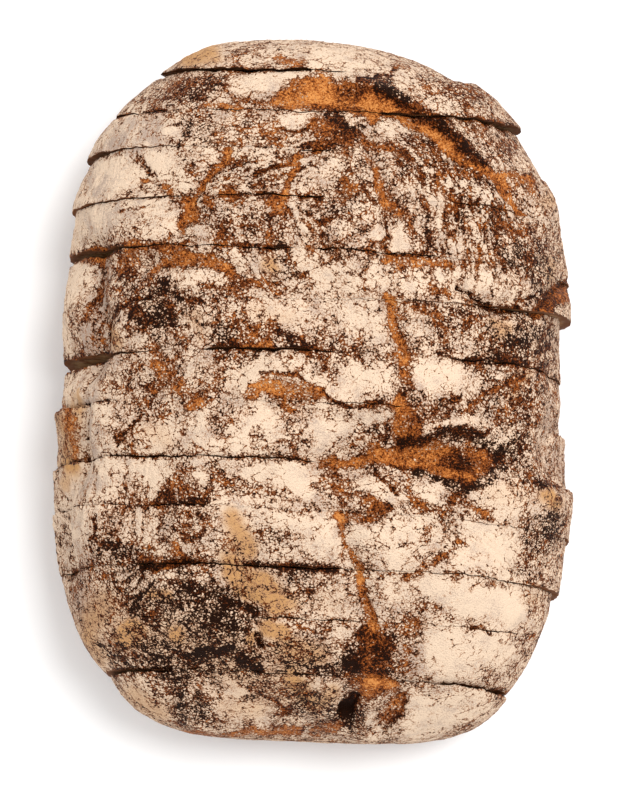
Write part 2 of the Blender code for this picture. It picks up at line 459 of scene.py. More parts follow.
MARKS: tuple[Mark, ...] = (
    # The +Y heel, down to the first cut
    Mark("heel tan skin", K.TAN, ((185, 60, 10), (212, 54, 10))),
    Mark("heel brown run", K.RUST, ((228, 60, 5), (242, 52, 5), (266, 42, 2))),
    Mark("heel orange spots", K.AMBER, ((276, 59, 3), (284, 60, 5), (303, 64, 4))),
    Mark("heel orange by the cut", K.AMBER, ((318, 71, 3), (328, 75, 5))),
    Mark("heel pale middle", K.DUST, ((322, 62, 14), (345, 68, 12))),
    Mark("heel crack", K.CRACK, ((372, 77, 1.4), (391, 74, 1.6), (398, 66, 1.6))),
    Mark("heel brown patch", K.RUST, ((397, 63, 5),)),
    Mark("heel pale right", K.DUST, ((405, 82, 14), (445, 104, 14))),
    Mark("heel brown specks", K.SPECK, ((424, 77, 8),)),
    Mark("heel speckle right", K.SPECK, ((460, 88, 9), (474, 98, 12), (482, 100, 9)), 1.2),
    # The second slice
    Mark("second dark speckle", K.SOOT, ((184, 92, 9), (205, 88, 11), (222, 80, 6)), 1.4),
    Mark("second grey speckle", K.SPECK, ((160, 104, 9), (195, 106, 9))),
    Mark("second pale heap", K.HEAP, ((240, 88, 9), (262, 82, 12), (290, 76, 5), (306, 74, 3))),
    Mark("second brown speckle", K.RUST, ((246, 102, 5), (268, 101, 5)), 0.8),
    Mark("second brown slope", K.SPECK, ((225, 75, 6), (238, 70, 5)), 1.2),
    Mark("second tan line", K.AMBER, ((205, 106, 2), (222, 105, 3), (240, 107, 2))),
    Mark(
        "ear split west",
        K.TEAR,
        ((278, 100, 7), (298, 94, 11), (318, 92, 15), (345, 93, 14), (362, 96, 13)),
    ),
    Mark("ear split gold", K.GOLD, ((302, 98, 5), (322, 98, 7), (345, 100, 4))),
    Mark("ear split tongue", K.TEAR, ((370, 104, 9), (374, 120, 6))),
    Mark("ear split middle", K.TEAR, ((372, 100, 10), (390, 107, 9), (404, 110, 8))),
    Mark("ear split gold east", K.GOLD, ((384, 107, 5), (398, 110, 4))),
    Mark("ear split lower", K.TEAR, ((408, 121, 4), (432, 128, 6), (448, 146, 6), (462, 158, 4))),
    Mark("ear split gold lower", K.GOLD, ((426, 127, 3), (440, 138, 3), (452, 155, 4))),
    Mark(
        "ear split end",
        K.TEAR,
        ((470, 164, 3), (484, 170, 4), (500, 178, 5), (508, 192, 5), (520, 208, 3), (530, 216, 2)),
    ),
    Mark("ear split branch", K.AMBER, ((505, 173, 3), (528, 182, 5), (530, 192, 4))),
    # partly scorched crust, partly painted shade under the raised lip of the ear
    Mark(
        "ear lip shade and burn",
        K.SCORCH,
        ((357, 79, 2), (372, 82, 4), (384, 88, 8), (400, 100, 6), (418, 112, 5)),
        1.2,
    ),
    Mark(
        "ear lip shade and burn lower",
        K.SCORCH,
        ((428, 118, 5), (444, 128, 6), (458, 142, 6), (472, 155, 5), (482, 166, 2)),
        1.2,
    ),
    Mark("ear lip flour", K.HEAP, ((398, 90, 3), (420, 98, 6), (440, 108, 8)), 0.45),
    Mark("ear lip pale strip", K.HEAP, ((446, 118, 4), (464, 136, 4), (478, 156, 4))),
    Mark("ear brown side", K.RUST, ((478, 126, 7), (490, 136, 9)), 0.7),
    Mark("ear speckle side", K.SPECK, ((478, 146, 6), (500, 156, 7), (512, 140, 9)), 1.2),
    # The third slice
    Mark("third grey flank", K.GREY, ((118, 140, 20), (150, 135, 18))),
    Mark("third flank flour", K.DUST, ((112, 140, 16), (150, 140, 22))),
    Mark("third white spot", K.HEAP, ((171, 131, 6),)),
    Mark("third dark speckle", K.SOOT, ((188, 126, 9), (208, 132, 9)), 0.9),
    Mark("third brown speckle", K.SPECK, ((165, 142, 6), (190, 136, 8))),
    Mark("third orange speckle", K.RUST, ((222, 134, 7), (220, 148, 6), (238, 144, 7))),
    Mark("third dense crackle", K.SPECK, ((248, 132, 12), (268, 134, 12)), 1.6),
    Mark("third pillow", K.HEAP, ((284, 122, 7), (300, 116, 8), (312, 113, 5))),
    Mark("third pillow edge", K.CRACK, ((276, 128, 1.5), (290, 131, 1.8), (306, 128, 1.5), (316, 120, 1.4))),
    Mark("third arch edge", K.CRACK, ((308, 109, 2), (325, 105, 2.5), (345, 109, 2), (360, 111, 2))),
    Mark("third burnt hollow", K.SCORCH, ((332, 114, 8), (340, 126, 11), (350, 134, 8)), 1.1),
    Mark("third rust", K.RUST, ((316, 124, 9), (326, 136, 11), (345, 142, 9), (362, 140, 6)), 1.2),
    Mark("third grey flap", K.HEAP, ((345, 113, 4), (352, 122, 4))),
    # painted shade along the open third cut
    Mark("third dark by the cut", K.SCORCH, ((303, 145, 3), (318, 144, 5), (332, 146, 3))),
    Mark("third pale east", K.DUST, ((385, 131, 8), (405, 130, 9))),
    Mark("third crackle east", K.SPECK, ((392, 144, 8), (415, 145, 11), (436, 156, 9)), 1.8),
    Mark("third rust run", K.RUST, ((364, 146, 4), (380, 146, 4), (392, 150, 2))),
    # The fourth slice
    Mark("fourth flank flour", K.DUST, ((104, 172, 14), (118, 180, 12))),
    Mark("fourth grey flank", K.GREY, ((96, 170, 14), (104, 190, 14))),
    Mark("fourth white wedge", K.HEAP, ((152, 158, 8), (170, 172, 12), (180, 186, 8))),
    Mark("fourth ring", K.RUST, ((186, 168, 5), (190, 176, 5)), 0.6),
    Mark("fourth crack west", K.CRACK, ((137, 154, 2.6), (142, 164, 3), (148, 172, 2), (154, 173, 1))),
    Mark("fourth crack low", K.AMBER, ((141, 180, 2), (158, 180, 2.4), (166, 187, 4), (174, 198, 3))),
    Mark(
        "fourth long tear",
        K.TEAR,
        ((228, 150, 4), (224, 163, 3), (210, 172, 3), (203, 186, 3), (192, 198, 4)),
    ),
    Mark("fourth speckle", K.SPECK, ((214, 168, 5), (232, 168, 7), (248, 158, 6)), 1.5),
    Mark("fourth rust", K.RUST, ((224, 194, 5), (236, 192, 5)), 1.2),
    Mark("fourth soot", K.SCORCH, ((228, 194, 3), (244, 196, 4)), 0.8),
    Mark("fourth pleats", K.PLEAT, ((238, 182, 14), (262, 172, 16), (304, 156, 14))),
    Mark("fourth slant", K.CRACK, ((256, 172, 2.4), (276, 168, 1.6), (300, 157, 1.4))),
    Mark("fourth tear", K.TEAR, ((300, 157, 4), (294, 168, 4), (288, 182, 3.4), (284, 196, 3)), 0.8),
    Mark("fourth pale middle", K.DUST, ((312, 168, 9), (335, 168, 12))),
    Mark("fourth red spot", K.RUST, ((345, 184, 6), (356, 189, 3)), 1.2),
    Mark(
        "fourth vertical tear",
        K.AMBER,
        ((366, 156, 4), (374, 166, 4), (378, 178, 4), (380, 192, 4), (384, 204, 4)),
    ),
    Mark("fourth crackle", K.SPECK, ((402, 160, 8), (415, 170, 9), (428, 178, 7), (452, 166, 7)), 1.5),
    Mark("fourth slanting pleats", K.PLEAT, ((400, 142, 14), (442, 200, 16))),
    Mark("fourth long pleats", K.PLEAT, ((455, 165, 18), (505, 222, 20))),
    Mark("fourth pale east", K.DUST, ((426, 188, 6), (468, 184, 14), (486, 200, 9))),
    Mark("fourth flank east", K.TAN, ((545, 200, 8),), 0.6),
    # The fifth slice
    Mark("fifth flank grey", K.GREY, ((88, 220, 12), (108, 222, 16))),
    Mark("fifth flank flour", K.DUST, ((90, 220, 12), (112, 224, 15))),
    Mark("fifth white field", K.HEAP, ((132, 204, 7), (158, 206, 11), (166, 218, 10), (152, 232, 9))),
    Mark("fifth small crack", K.RUST, ((123, 212, 2.4), (134, 209, 2.4), (144, 206, 1.8)), 1.3),
    Mark("fifth flank specks", K.SPECK, ((126, 228, 5), (110, 232, 4)), 1.2),
    Mark("fifth orange knot", K.TEAR, ((187, 204, 7), (190, 214, 8), (180, 224, 6), (182, 232, 3)), 0.9),
    Mark("fifth orange spot", K.AMBER, ((206, 200, 5), (212, 206, 4))),
    Mark("fifth dark slope", K.SPECK, ((205, 212, 7), (226, 226, 9), (222, 236, 9)), 1.7),
    Mark("fifth cream spots", K.HEAP, ((200, 230, 6), (212, 232, 4)), 0.8),
    Mark("fifth cream", K.HEAP, ((235, 230, 5), (228, 212, 8)), 0.7),
    Mark("fifth dense crackle", K.SPECK, ((250, 222, 10), (272, 226, 12), (285, 214, 6)), 1.9),
    Mark("fifth orange join", K.AMBER, ((270, 202, 5), (286, 196, 6), (278, 212, 5))),
    Mark("fifth streaks", K.PLEAT, ((288, 198, 12), (328, 242, 14))),
    Mark("fifth pale streak", K.HEAP, ((292, 206, 3), (304, 226, 5), (308, 238, 4)), 0.8),
    Mark("fifth crackle", K.SPECK, ((318, 206, 7), (335, 216, 9), (352, 214, 5)), 1.1),
    Mark("fifth pale spots", K.DUST, ((355, 212, 8), (345, 232, 6))),
    Mark("fifth west lobe", K.HEAP, ((379, 228, 5), (378, 235, 6)), 1.2),
    Mark("fifth east lobe", K.HEAP, ((398, 228, 5), (400, 240, 9), (398, 248, 7)), 1.3),
    Mark("fifth lobe gap", K.CRACK, ((389, 222, 1.6), (388, 236, 2), (382, 244, 1.6))),
    Mark("fifth lobe foot", K.CRACK, ((382, 248, 1.6), (394, 255, 1.8), (416, 256, 1.6), (428, 250, 1.6))),
    Mark("fifth red slant", K.RUST, ((388, 200, 4), (398, 210, 5), (408, 218, 4), (414, 232, 4)), 1.2),
    Mark("fifth dark crease west", K.SCORCH, ((427, 206, 3), (430, 224, 5), (432, 244, 3)), 0.85),
    Mark("fifth dark crease east", K.SCORCH, ((460, 200, 5), (461, 216, 4), (463, 232, 3)), 0.9),
    Mark("fifth dark ledge", K.SPECK, ((462, 208, 4), (482, 210, 4), (506, 212, 5)), 1.8),
    Mark("fifth upright pleats", K.PLEAT, ((462, 196, 46), (466, 256, 44))),
    Mark("fifth brown flank", K.SPECK, ((530, 236, 12), (552, 236, 9), (535, 254, 10)), 1.1),
    Mark("fifth crackle east", K.SPECK, ((505, 230, 9),), 1.0),
    # The sixth slice
    Mark("sixth notch face", K.BROWN, ((74, 258, 6), (88, 252, 6), (100, 248, 2))),
    Mark("sixth flank pillow", K.HEAP, ((76, 268, 6), (76, 290, 7), (72, 306, 6)), 0.6),
    Mark("sixth grey streaks", K.PLEAT, ((95, 252, 9), (93, 300, 9))),
    Mark("sixth grey", K.GREY, ((96, 255, 7), (95, 296, 8))),
    Mark("sixth brown field", K.RUST, ((112, 266, 6), (126, 262, 8), (136, 250, 8)), 1.2),
    Mark("sixth dark field", K.SCORCH, ((116, 272, 5), (128, 272, 6)), 0.7),
    Mark("sixth red top", K.RUST, ((128, 244, 5), (150, 246, 6), (175, 252, 4), (190, 254, 3))),
    Mark(
        "sixth orange arc",
        K.TEAR,
        ((150, 270, 4), (160, 263, 5), (180, 259, 6), (208, 260, 7), (224, 267, 5)),
        0.85,
    ),
    Mark(
        "sixth orange arc tail",
        K.RUST,
        ((224, 268, 5), (240, 277, 4), (262, 284, 3.4), (282, 292, 3)),
        1.2,
    ),
    Mark("sixth pale field", K.HEAP, ((178, 276, 8), (205, 276, 9), (228, 282, 6)), 0.7),
    Mark("sixth burnt spot", K.SCORCH, ((156, 290, 8), (168, 284, 7)), 0.9),
    Mark("sixth dark line", K.SCORCH, ((178, 299, 3), (196, 301, 4), (206, 303, 2)), 0.9),
    Mark("sixth speckle", K.SPECK, ((128, 288, 12), (145, 276, 6)), 1.2),
    Mark("sixth speckle low", K.SPECK, ((196, 290, 7), (225, 292, 8), (250, 290, 6)), 1.0),
    Mark("sixth slanting pleats", K.PLEAT, ((238, 248, 8), (268, 284, 8))),
    Mark("sixth cream", K.HEAP, ((232, 254, 6), (246, 264, 4)), 0.5),
    # painted shade along the open fifth cut
    Mark("sixth dark by the cut", K.SCORCH, ((232, 243, 2), (262, 246, 3), (284, 247, 3)), 0.9),
    Mark("sixth tan", K.TAN, ((268, 262, 7), (274, 268, 6))),
    Mark("sixth crackle", K.SPECK, ((288, 266, 9), (296, 274, 7)), 1.7),
    Mark("sixth cream field", K.HEAP, ((318, 272, 10), (345, 282, 12)), 0.7),
    Mark("sixth pink field", K.DUST, ((376, 272, 10), (405, 284, 14), (440, 272, 12))),
    Mark("sixth red spots", K.RUST, ((366, 293, 4), (388, 294, 4)), 1.0),
    Mark("sixth orange ledge", K.AMBER, ((382, 260, 3), (400, 262, 5), (425, 262, 4), (456, 264, 3)), 1.1),
    Mark("sixth rust", K.RUST, ((432, 288, 4), (446, 292, 5), (455, 298, 3)), 1.1),
    Mark("sixth red speckle", K.RUST, ((470, 264, 5), (496, 264, 6)), 0.5),
    Mark("sixth lobe", K.DUST, ((490, 284, 14), (505, 292, 12)), 0.8),
    Mark("sixth lobe crackle", K.SPECK, ((532, 262, 10), (530, 278, 9)), 1.4),
    Mark("sixth flank tan", K.TAN, ((554, 262, 8), (552, 280, 7)), 0.6),
    Mark(
        "sixth lobe edge",
        K.FOLD,
        ((462, 287, 1.6), (476, 298, 2), (488, 306, 2.4), (505, 310, 3.2), (520, 308, 3)),
        1.1,
    ),
    Mark("sixth lobe edge east", K.CRACK, ((520, 303, 1.6), (534, 296, 1.6), (540, 290, 1.2))),
    Mark("sixth east fissure", K.BROWN, ((534, 314, 4), (550, 302, 7), (564, 292, 8)), 1.2),
    Mark("sixth east fissure edge", K.CRACK, ((530, 316, 2), (548, 300, 2), (558, 290, 2), (569, 282, 2))),
    # The seventh slice
    Mark("seventh flank streaks", K.PLEAT, ((82, 302, 18), (78, 352, 16))),
    Mark("seventh flank grey", K.GREY, ((88, 315, 12), (84, 345, 12)), 0.8),
    Mark(
        "seventh slanting crack",
        K.CRACK,
        ((101, 342, 1.4), (103, 324, 2), (116, 313, 2.4), (132, 300, 2.4), (150, 296, 2)),
    ),
    Mark("seventh tan", K.TAN, ((108, 328, 7), (116, 342, 9)), 0.8),
    Mark("seventh burnt field", K.SCORCH, ((138, 312, 8), (146, 322, 10), (160, 316, 9), (172, 320, 6)), 0.8),
    Mark("seventh burnt rim", K.SOOT, ((148, 306, 14), (160, 330, 14)), 0.7),
    Mark("seventh orange spot", K.AMBER, ((169, 304, 5),)),
    Mark("seventh cream", K.TAN, ((196, 318, 9), (202, 334, 8)), 0.5),
    Mark("seventh soot", K.SOOT, ((224, 332, 9), (228, 342, 9)), 1.1),
    Mark("seventh rust", K.RUST, ((250, 334, 7), (262, 340, 7), (272, 345, 5))),
    Mark("seventh orange by the cut", K.AMBER, ((244, 347, 2), (272, 345, 3))),
    Mark("seventh burnt wedge", K.SCORCH, ((280, 334, 4), (290, 341, 6), (304, 347, 5), (318, 350, 2)), 1.2),
    Mark("seventh cream field", K.DUST, ((250, 310, 12), (290, 312, 12))),
    Mark("seventh tan field", K.TAN, ((250, 312, 10), (288, 318, 10)), 0.35),
    Mark("seventh dark specks", K.SPECK, ((322, 338, 8), (342, 342, 6)), 1.5),
    Mark("seventh small spot", K.CRACK, ((306, 322, 2.6),)),
    Mark("seventh cream east", K.DUST, ((355, 314, 12), (375, 330, 10), (350, 330, 8))),
    Mark(
        "seventh vertical tear",
        K.AMBER,
        ((386, 296, 4), (392, 306, 4), (390, 320, 4), (396, 334, 4), (402, 348, 6), (406, 358, 6)),
        1.1,
    ),
    Mark("seventh brown field", K.RUST, ((404, 306, 5), (422, 308, 7), (436, 310, 5)), 0.9),
    Mark("seventh crackle east", K.SPECK, ((440, 322, 9), (462, 312, 9), (475, 328, 9)), 1.6),
    Mark("seventh dark cluster", K.SOOT, ((462, 312, 4), (480, 314, 4)), 1.0),
    Mark("seventh rust east", K.RUST, ((464, 300, 4), (480, 304, 4)), 1.0),
    Mark("seventh pale", K.DUST, ((412, 328, 8), (430, 345, 8))),
    Mark("seventh tan east", K.TAN, ((494, 322, 6), (506, 330, 7), (498, 336, 5)), 0.8),
    Mark("seventh flank speckle", K.SOOT, ((525, 330, 7), (550, 332, 8)), 0.7),
    Mark("seventh burnt knot", K.SCORCH, ((512, 340, 6), (520, 344, 7)), 0.9),
    Mark("seventh burnt knot east", K.SCORCH, ((534, 352, 3), (546, 346, 5), (554, 350, 3)), 0.9),
    Mark("seventh burnt knot low", K.SCORCH, ((540, 366, 3), (550, 361, 4)), 1.0),
    # painted shade along the open seventh cut below the ledge
    Mark(
        "seventh dark ledge",
        K.SCORCH,
        ((440, 352, 2), (458, 357, 2), (484, 361, 3), (506, 358, 5), (524, 366, 3)),
        0.8,
    ),
    Mark("seventh notch face", K.BROWN, ((66, 366, 6), (74, 360, 5), (86, 360, 3))),
    # The eighth slice
    Mark("eighth flank pink", K.DUST, ((74, 386, 5), (70, 400, 5)), 0.6),
    Mark("eighth flank stain", K.TAN, ((78, 390, 2), (76, 408, 5)), 0.8),
    Mark("eighth flank grey", K.GREY, ((92, 366, 8), (90, 396, 8))),
    Mark("eighth flank flour", K.DUST, ((92, 368, 7), (90, 394, 7))),
    Mark("eighth crackle west", K.SPECK, ((108, 378, 8), (125, 390, 7)), 0.8),
    Mark("eighth burnt spot", K.SCORCH, ((144, 386, 6), (150, 390, 6)), 0.8),
    Mark("eighth dark specks", K.SPECK, ((134, 378, 8), (152, 380, 9)), 1.3),
    Mark("eighth orange field", K.AMBER, ((152, 350, 6), (156, 362, 7), (160, 372, 6)), 0.95),
    Mark("eighth red field", K.RUST, ((170, 362, 5), (172, 386, 6), (186, 392, 6), (204, 397, 4)), 1.2),
    Mark("eighth grey patch", K.DUST, ((190, 362, 7), (196, 376, 7)), 0.5),
    Mark("eighth pink patch", K.SPECK, ((212, 388, 6), (222, 376, 6)), 0.9),
    Mark("eighth pale west", K.DUST, ((236, 364, 8), (240, 386, 8), (262, 366, 7))),
    Mark("eighth crackle middle", K.SPECK, ((324, 356, 9), (334, 368, 8), (316, 374, 5)), 1.7),
    Mark("eighth rust middle", K.RUST, ((306, 354, 4), (316, 358, 4), (334, 372, 5)), 0.8),
    Mark("eighth cream field", K.DUST, ((355, 372, 9), (372, 384, 13), (350, 392, 9)), 1.1),
    Mark("eighth brown slant", K.SPECK, ((360, 362, 4), (372, 372, 4)), 1.3),
    Mark(
        "crescent",
        K.TEAR,
        ((250, 394, 6), (262, 386, 9), (280, 388, 11), (300, 392, 10), (318, 394, 6)),
        0.85,
    ),
    Mark("crescent gold", K.GOLD, ((262, 388, 6), (278, 388, 7), (292, 394, 5))),
    Mark(
        "crescent rim",
        K.CRACK,
        ((262, 373, 1.6), (280, 375, 2.2), (302, 378, 2), (316, 386, 2), (328, 396, 2.2), (334, 401, 2)),
    ),
    Mark("crescent foot", K.RUST, ((282, 402, 3), (292, 408, 4)), 1.2),
    Mark("crescent tail", K.CRACK, ((334, 402, 1.6), (346, 408, 1.8), (368, 407, 1.8), (380, 402, 1.6))),
    Mark("eighth vertical tear", K.RUST, ((404, 364, 5), (405, 384, 6), (402, 398, 7)), 1.2),
    Mark("eighth smooth east", K.HEAP, ((422, 372, 9), (440, 380, 15), (456, 372, 10)), 0.8),
    Mark("eighth crackle east", K.SPECK, ((476, 370, 7), (486, 374, 6)), 1.5),
    Mark(
        "eighth slanting crack",
        K.RUST,
        ((468, 412, 4), (478, 402, 4.6), (486, 393, 3.4), (504, 385, 3.4), (518, 380, 4)),
        1.3,
    ),
    Mark("eighth burnt tip", K.SCORCH, ((504, 385, 2.4), (518, 379, 4)), 1.0),
    Mark("eighth short crack", K.CRACK, ((440, 400, 1.2), (452, 400, 1.8), (462, 397, 1.8))),
    Mark("eighth pale east", K.DUST, ((500, 372, 7), (506, 400, 9)), 0.9),
    Mark("eighth tan flank", K.TAN, ((525, 372, 7), (515, 396, 7)), 0.6),
    Mark("eighth flank crackle", K.SPECK, ((535, 388, 10), (538, 410, 10), (522, 405, 7)), 1.3),
    Mark("eighth pink flank", K.GREY, ((556, 400, 6), (556, 430, 6)), 0.6),
    Mark("eighth crackle low", K.SPECK, ((430, 408, 6), (455, 412, 8)), 1.3),
    # The ninth slice
    Mark("ninth flank orange", K.AMBER, ((70, 422, 5), (72, 440, 5), (72, 456, 4)), 0.5),
    Mark("ninth flank tan", K.TAN, ((68, 420, 9), (66, 458, 9)), 0.9),
    Mark("ninth grey", K.GREY, ((94, 412, 9), (96, 450, 12))),
    Mark(
        "ninth hooked crack",
        K.CRACK,
        ((120, 446, 1.2), (122, 438, 1.8), (127, 432, 1.4), (134, 424, 1.6), (142, 414, 1.4)),
    ),
    Mark("ninth cream", K.DUST, ((150, 436, 12), (165, 432, 10))),
    Mark("ninth tan", K.TAN, ((148, 428, 12), (165, 440, 10)), 0.4),
    Mark("ninth speckle", K.SPECK, ((160, 408, 8), (140, 404, 6)), 1.2),
    Mark("ninth orange spot", K.GOLD, ((191, 406, 5), (197, 403, 4)), 1.2),
    Mark("ninth orange edge", K.AMBER, ((190, 406, 6), (200, 402, 5))),
    Mark("ninth red run", K.RUST, ((186, 418, 4.4), (184, 432, 3.6)), 1.3),
    Mark("ninth white west", K.HEAP, ((202, 414, 5), (202, 436, 8), (215, 447, 7)), 0.9),
    Mark("ninth pink speckle", K.SPECK, ((226, 412, 8), (222, 430, 7)), 0.6),
    Mark("ninth white middle", K.HEAP, ((262, 408, 7), (268, 420, 9), (235, 447, 7)), 1.0),
    Mark("ninth dark specks", K.SPECK, ((252, 434, 6), (262, 442, 6)), 1.5),
    Mark("ninth dark specks east", K.SPECK, ((290, 426, 6), (300, 440, 6), (284, 444, 5)), 1.5),
    Mark("ninth white field", K.HEAP, ((318, 424, 9), (326, 436, 10), (340, 426, 7)), 0.9),
    Mark("ninth pink field", K.SPECK, ((350, 438, 8), (332, 450, 7)), 0.5),
    Mark("ninth white pillow", K.HEAP, ((366, 422, 4.4), (380, 420, 4.4), (386, 416, 3)), 1.3),
    Mark("ninth pillow shade", K.SOOT, ((368, 432, 4), (384, 430, 5), (386, 440, 4)), 1.1),
    Mark("ninth knot", K.AMBER, ((398, 402, 7), (400, 418, 9), (396, 434, 8), (410, 430, 9)), 1.0),
    Mark("ninth knot dark", K.RUST, ((385, 404, 4), (400, 410, 9), (414, 412, 8), (408, 440, 8)), 0.8),
    Mark("ninth knot soot", K.SOOT, ((414, 430, 6), (404, 445, 5)), 1.0),
    Mark("ninth rust west", K.RUST, ((366, 446, 5), (378, 448, 6)), 1.2),
    Mark("ninth pale spot", K.HEAP, ((426, 431, 5),), 0.8),
    Mark("ninth pale ledge", K.HEAP, ((444, 423, 3), (470, 420, 5), (484, 422, 5)), 1.0),
    Mark(
        "eye lip burnt",
        K.SCORCH,
        ((402, 444, 4), (424, 440, 5), (446, 431, 5), (466, 433, 6), (484, 434, 3)),
        1.3,
    ),
    Mark("ninth pale east", K.DUST, ((500, 430, 8), (512, 438, 6))),
    Mark("ninth crackle east", K.SPECK, ((500, 416, 5), (525, 418, 10), (525, 444, 10)), 1.3),
    Mark("ninth dark specks low", K.SOOT, ((508, 450, 5), (520, 452, 6)), 0.9),
    Mark("ninth flank pink", K.GREY, ((560, 450, 7), (562, 475, 6)), 0.6),
    # The tenth slice, with the great split
    Mark(
        "eye split",
        K.TEAR,
        (
            (322, 462, 5), (350, 461, 5), (380, 456, 7), (402, 456, 9), (430, 456, 12), (460, 460, 16),
            (482, 462, 15), (500, 458, 8),
        ),
    ),
    Mark("eye split lower", K.TEAR, ((452, 474, 8), (470, 480, 7))),
    Mark("eye gold", K.GOLD, ((430, 448, 5), (452, 446, 5)), 0.8),
    Mark("eye gold low", K.GOLD, ((464, 478, 5), (478, 475, 4)), 0.8),
    Mark("eye mottle", K.SCORCH, ((446, 464, 6), (462, 462, 4)), 0.55),
    Mark("eye mottle west", K.SCORCH, ((388, 462, 3), (406, 468, 3), (424, 470, 4), (440, 478, 4)), 0.9),
    Mark("eye foot", K.SCORCH, ((446, 484, 3), (466, 490, 4), (482, 487, 3), (496, 478, 3)), 0.9),
    Mark("eye mottle east", K.SCORCH, ((504, 450, 5), (506, 466, 5)), 0.6),
    Mark("tenth flank pink", K.TAN, ((66, 468, 8), (60, 485, 6)), 0.7),
    Mark("tenth streaks", K.PLEAT, ((92, 462, 15), (90, 502, 14))),
    Mark("tenth grey", K.GREY, ((76, 490, 12), (92, 480, 12)), 0.8),
    Mark("tenth cream west", K.HEAP, ((132, 470, 9), (150, 480, 9), (142, 492, 8)), 0.6),
    Mark("tenth upright pleats", K.PLEAT, ((130, 460, 22), (126, 500, 20)), 0.6),
    Mark("tenth rust", K.RUST, ((180, 466, 5), (178, 480, 7), (170, 490, 8), (184, 490, 6)), 1.3),
    Mark("tenth burnt wedge", K.SCORCH, ((152, 500, 2), (164, 494, 5), (176, 500, 4), (206, 499, 3)), 1.1),
    Mark("tenth dark specks", K.SPECK, ((196, 492, 7), (210, 496, 5)), 1.6),
    Mark("tenth white west", K.HEAP, ((198, 466, 6), (202, 478, 6)), 1.1),
    Mark("tenth dark run", K.SOOT, ((216, 462, 4), (222, 472, 4)), 1.0),
    Mark("tenth grey patch", K.SPECK, ((224, 480, 7), (250, 490, 7), (254, 494, 4)), 1.6),
    Mark("tenth brown spot", K.RUST, ((268, 484, 5), (274, 492, 4)), 0.9),
    Mark("tenth white field", K.HEAP, ((246, 472, 7), (290, 474, 12), (306, 488, 9)), 1.0),
    Mark("tenth grey spot", K.SPECK, ((313, 487, 4),), 1.6),
    Mark("tenth rust east", K.RUST, ((328, 472, 7), (338, 486, 9), (344, 498, 7)), 1.0),
    Mark("tenth cream middle", K.HEAP, ((368, 482, 6), (384, 494, 8), (400, 498, 5)), 0.9),
    Mark("tenth slanting line", K.CRACK, ((376, 472, 1.8), (388, 483, 1.4), (397, 493, 1.8))),
    Mark("tenth pale spots", K.DUST, ((412, 478, 5), (430, 492, 7), (440, 486, 5)), 1.1),
    Mark("tenth rust middle", K.RUST, ((366, 502, 6), (380, 508, 8), (372, 516, 6)), 1.2),
    Mark("tenth soot middle", K.SCORCH, ((376, 508, 4), (386, 508, 5), (380, 520, 3)), 0.8),
    Mark("tenth brown band", K.RUST, ((410, 498, 3), (426, 508, 6), (440, 512, 5)), 1.2),
    Mark("tenth slant east", K.RUST, ((446, 498, 3), (464, 502, 4), (484, 514, 4), (496, 519, 3)), 1.1),
    Mark("tenth speckle", K.SPECK, ((406, 508, 7), (450, 512, 9), (412, 486, 8)), 1.0),
    Mark("tenth tan east", K.HEAP, ((495, 495, 12), (510, 508, 10)), 0.5),
    Mark("tenth tan shade", K.TAN, ((492, 492, 14), (524, 496, 10)), 0.3),
    Mark("tenth grey lobe", K.HEAP, ((532, 508, 6),), 0.6),
    Mark("tenth yellow flank", K.TAN, ((544, 494, 8), (550, 504, 7)), 1.2),
    Mark("tenth burnt ledge", K.SCORCH, ((536, 480, 3), (546, 484, 4), (558, 486, 2)), 1.2),
    Mark("tenth crackle east", K.SPECK, ((528, 486, 7), (530, 470, 8)), 1.4),
    Mark("tenth speckle flank", K.SOOT, ((548, 520, 9), (554, 530, 8)), 1.1),
    # The eleventh slice
    Mark("eleventh flank shade", K.SOOT, ((60, 505, 5), (56, 530, 5), (60, 552, 6)), 0.8),
    Mark("eleventh flank flour", K.DUST, ((80, 530, 14), (82, 550, 12)), 1.2),
    Mark("eleventh grey", K.GREY, ((80, 525, 14), (82, 560, 12)), 0.9),
    Mark("eleventh hooked crack", K.CRACK, ((100, 518, 1.2), (98, 532, 1.6), (94, 544, 1.4), (97, 554, 1.2))),
    Mark("eleventh burnt spot", K.SCORCH, ((108, 546, 4), (118, 548, 5), (124, 556, 4)), 1.0),
    Mark("eleventh cream west", K.HEAP, ((130, 518, 8), (146, 530, 8)), 0.6),
    Mark("eleventh pleats", K.PLEAT, ((130, 510, 20), (128, 545, 20)), 0.7),
    Mark("eleventh speckle", K.SPECK, ((130, 552, 8), (148, 550, 8)), 1.1),
    Mark("eleventh cream", K.HEAP, ((158, 552, 6), (150, 540, 4)), 0.6),
    Mark("eleventh burnt arc", K.SCORCH, ((174, 528, 3), (186, 536, 4), (200, 540, 3), (206, 530, 2)), 0.9),
    Mark("eleventh crackle", K.SPECK, ((168, 518, 9), (190, 516, 8), (206, 520, 6)), 1.5),
    Mark("eleventh brown foot", K.RUST, ((170, 552, 5), (184, 556, 4), (176, 545, 4)), 1.3),
    Mark("eleventh groove", K.FOLD, ((140, 566, 3), (160, 566, 3), (180, 563, 3.4), (200, 561, 2.4)), 1.1),
    Mark("eleventh groove orange", K.AMBER, ((152, 571, 2), (172, 566, 3), (182, 562, 2))),
    Mark("eleventh tan", K.TAN, ((232, 516, 10), (240, 534, 12), (250, 548, 8))),
    Mark("eleventh smooth", K.HEAP, ((228, 512, 9), (240, 524, 10)), 0.4),
    Mark("eleventh tan speckle", K.SPECK, ((215, 540, 7), (236, 548, 7)), 1.2),
    Mark("eleventh grey speckle", K.SPECK, ((258, 530, 8), (290, 545, 9), (284, 530, 6)), 1.3),
    Mark("eleventh pink field", K.HEAP, ((276, 518, 8), (325, 522, 10), (325, 540, 12)), 0.8),
    Mark("eleventh red line", K.RUST, ((270, 509, 2), (296, 513, 3), (318, 510, 2)), 0.8),
    # painted shade along the open eleventh cut
    Mark(
        "eleventh dark cut",
